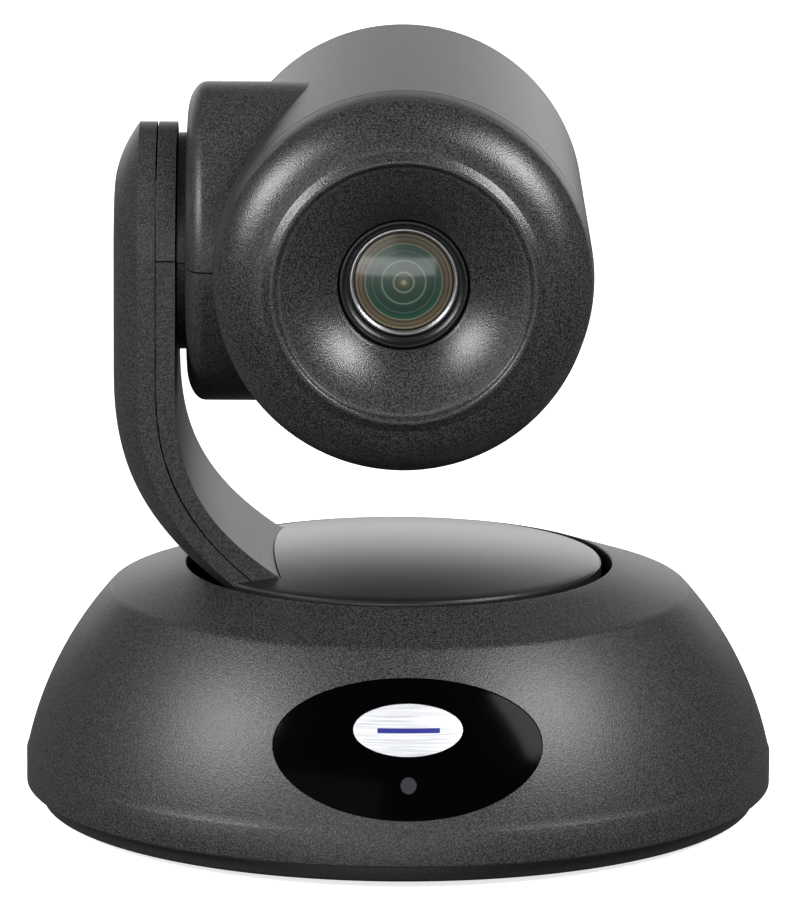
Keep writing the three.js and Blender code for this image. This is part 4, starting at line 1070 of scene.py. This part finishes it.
# ---- Lens surround -------------------------------------------------------------------------------
# A black polycarbonate cone that stops stray light, and a bright turned ring that holds the glass.
black_pc = grained("black_polycarbonate", 0.2, "#050506", "#0a0a0b", 0.35, 0.01)
RIM_FRONT = DISH_FRONT - 4.6
surround = turn(
    "light_cone",
    rounded(
        [
            (LENS_HOLE - 1.2, RIM_FRONT - 1.6),
            (LENS_HOLE - 0.4, RIM_FRONT - 1.6),
            (LENS_HOLE - 0.4, DISH_FRONT - 1.1, 0.2),
            (LENS_HOLE - 1.1, DISH_FRONT - 0.9, 0.2),
            (LENS_HOLE - 1.5, RIM_FRONT + 1.9, 0.1),
            (LENS_HOLE - 2.1, RIM_FRONT + 1.6, 0.1),
            (LENS_HOLE - 2.5, RIM_FRONT + 0.2, 0.1),
            (LENS_HOLE - 2.5, RIM_FRONT - 1.6),
        ],
        2,
    ),
    "front",
    HEAD,
    steps=160,
)
fit(surround, black_pc, "head", "black_plastic", "lens_surround")

satin_nickel = machined("satin_nickel", "#c4c5c7", 0.38, 0.1)
retainer = turn(
    "glass_retainer",
    rounded(
        [
            (LENS_HOLE - 3.5, RIM_FRONT - 1.5),
            (LENS_HOLE - 2.95, RIM_FRONT - 1.5),
            (LENS_HOLE - 2.95, RIM_FRONT, 0.12),
            (LENS_HOLE - 3.4, RIM_FRONT + 0.15, 0.12),
            (LENS_HOLE - 3.9, RIM_FRONT - 0.5, 0.1),
            (LENS_HOLE - 3.9, RIM_FRONT - 1.5),
        ],
        3,
    ),
    "front",
    HEAD,
    steps=160,
)
fit(retainer, satin_nickel, "head", "bright_ring", "lens_retaining_ring")


# ---- Lens ----------------------------------------------------------------------------------------
# A zoom lens: a coated front element held in a stepped, anodised baffle, then a black tube in which two more
# groups slide on steel rods. The green and amber glints of the coatings are painted into the colour of the
# glass as rings.
def element(name, radius, front, thickness, front_rise, back_rise):
    """A lens turned about the optical axis, with two bulging faces."""
    rear = front - thickness
    return turn(
        name,
        [
            *bulge((radius, front), (0.0, front + front_rise), front_rise / 4, 20)[::-1],
            (radius, rear),
            *bulge((0.0, rear - back_rise), (radius, rear), back_rise / 4, 16)[::-1][1:],
        ],
        "front",
        HEAD,
        steps=128,
    )


def ringed(name, stops, roughness, metallic):
    """A turned surface whose colour changes with its distance from the optical axis."""
    material, shader = principled(name, Roughness=roughness, Metallic=metallic)
    tree = material.node_tree
    place = add_node(tree, "ShaderNodeTexCoord")
    centre = add_node(
        tree,
        "ShaderNodeMapping",
        {"Location": (-BARREL_X * MM, 0, -TILT_Z * MM), "Scale": (1, 0, 1)},
        {"Vector": place.outputs["Object"]},
    )
    reach = add_node(
        tree, "ShaderNodeVectorMath", None, {0: centre.outputs["Vector"]}, operation="LENGTH"
    )
    bands = add_node(
        tree,
        "ShaderNodeMath",
        {1: 1 / (LENS_HOLE * MM)},
        {0: reach.outputs["Value"]},
        operation="MULTIPLY",
    )
    ramp = add_node(tree, "ShaderNodeValToRGB", None, {"Fac": bands.outputs["Value"]})
    for number, (radius, colour) in enumerate(stops):
        if number < 2:
            stop = ramp.color_ramp.elements[number]
            stop.position = radius / LENS_HOLE
        else:
            stop = ramp.color_ramp.elements.new(radius / LENS_HOLE)
        stop.color = srgb(colour)
    tree.links.new(ramp.outputs["Color"], shader.inputs["Base Color"])
    return material


# Multi-coated glass over a blackened cell, drawn opaque, with light painted into its colour: a painted glint
# in the middle, and thin pale rings on deep green, amber towards its edge, that paint the rims of the
# elements behind it together with painted reflections in their coatings.
painted_reflection_glass = ringed(
    "multi_coated_glass_painted_reflections",
    (
        # A painted glint in the middle, then painted reflections as rings.
        (0.0, "#9c9470"),
        (0.9, "#3b4a33"),
        (2.1, "#16291f"),
        (2.4, "#6f7d63"),
        (2.8, "#1a3327"),
        (5.0, "#183a2c"),
        (5.25, "#5f7d68"),
        (5.6, "#163a2d"),
        (7.3, "#123127"),
        (7.5, "#3f5a4b"),
        (7.8, "#15392d"),
        (9.1, "#1c4a3a"),
        (9.3, "#80826c"),
        (9.6, "#3a3324"),
        (10.6, "#6d614a"),
        (10.9, "#2a251b"),
        (11.3, "#85785c"),
        (11.8, "#1d1d1a"),
    ),
    0.35,
    0.0,
)
for socket, value in (("Coat Weight", 1.0), ("Coat Roughness", 0.1), ("Coat IOR", 1.45)):
    painted_reflection_glass.node_tree.nodes["Principled BSDF"].inputs[socket].default_value = value
front_glass = element("objective", LENS_HOLE - 4.2, RIM_FRONT - 1, 3, 1.6, 0.8)
fit(front_glass, painted_reflection_glass, "head", "lens_glass", "front_lens")

black_anodised = grained("black_anodised_aluminium", 0.25, "#0a0a0b", "#141415", 0.4, 0.01)
TUBE_LIP = LENS_HOLE - 3.4
tube = turn(
    "lens_tube",
    [
        (16.6, -8),
        (19, -8),
        (19, RIM_FRONT - 4.6),
        (LENS_HOLE - 0.4, RIM_FRONT - 1.9),
        (TUBE_LIP, RIM_FRONT - 1.9),
        (TUBE_LIP, RIM_FRONT - 4.9),
        (11.7, RIM_FRONT - 4.9),
        (11.5, RIM_FRONT - 5.1),
        (11.5, RIM_FRONT - 5.4),
        (10.6, RIM_FRONT - 5.5),
        (10.4, RIM_FRONT - 5.7),
        (10.4, RIM_FRONT - 6.0),
        (9.4, RIM_FRONT - 6.1),
        (9.2, RIM_FRONT - 6.3),
        (9.2, RIM_FRONT - 6.6),
        (16.6, RIM_FRONT - 6.6),
    ],
    "front",
    HEAD,
    steps=128,
)
fit(tube, black_anodised, "head", "black_plastic", "lens_barrel")

# The inner glass is drawn opaque; its brown, green and violet rings are painted reflections of its coatings.
inner_glass_painted_reflections = ringed(
    "single_coated_glass_painted_reflections",
    ((0.0, "#2b2616"), (4.2, "#1d3a2c"), (6.6, "#2c2440"), (9.4, "#141414")),
    0.1,
    0.4,
)
# Name, front face and glass radius of each group.
GROUPS = (("zoom", 30, 11), ("focus", 8, 9.5))
for name, front, radius in GROUPS:
    body = f"{name}_group"
    glass = element(f"{name}_glass", radius, front - 1, 4, 0.8, 0.8)
    fit(glass, inner_glass_painted_reflections, body, "lens_glass", f"{name}_lens")
    cell = turn(
        f"{name}_holder",
        rounded(
            [
                (radius + 0.2, front - 6),
                (16.2, front - 6, 0.3),
                (16.2, front, 0.4),
                (14.5, front, 0.1),
                (14.5, front - 1, 0.1),
                (12.6, front - 1, 0.1),
                (12.6, front - 0.2, 0.1),
                (radius + 0.2, front - 0.2, 0.1),
            ],
            2,
        ),
        "front",
        HEAD,
        steps=96,
    )
    for side in (-13.6, 13.6):
        carve(cell, rod(1.3, front - 8, front + 2, (BARREL_X + side, TILT_Z), "front", 24))
    fit(cell, black_anodised, body, "black_plastic", f"{name}_cell")


# ---- Inner parts ---------------------------------------------------------------------------------
# What works inside: boards, motors, gears, bearings, frames, the shaft and its wires. They keep
# their shape from the frame and get their real finishes.
def finish_parts(material, *names):
    for name in names:
        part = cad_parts[name]
        part.data.materials.clear()
        part.data.materials.append(material)


finish_parts(
    zinc,
    "pan_bearing",
    "pan_motor",
    "turntable_hub",
    "yoke_bracket",
    "tilt_shaft",
    "tilt_bearing",
    "tilt_motor",
    "head_frame",
    "zoom_motor",
    "focus_motor",
    "guide_rod_left",
    "guide_rod_right",
)
finish_parts(turned_brass, "pan_pinion", "tilt_pinion")
acetal = grained("white_acetal", 0.4, "#d8d6cf", "#e6e4de", 0.4, 0.01)
finish_parts(acetal, "pan_gear", "tilt_gear")
solder_mask = grained("green_solder_mask", 0.8, "#0f3a22", "#1c5534", 0.35, 0.03)
finish_parts(solder_mask, "status_board", "main_board", "sensor_board")
cast = grained("cast_aluminium", 0.5, "#6d6f72", "#8b8d90", 0.5, 0.03, Metallic=0.9)
finish_parts(cast, "pan_frame")
wire_jacket = grained("vinyl_wire_jacket", 0.4, "#101011", "#1b1b1c", 0.5, 0.02)
finish_parts(wire_jacket, "head_harness")
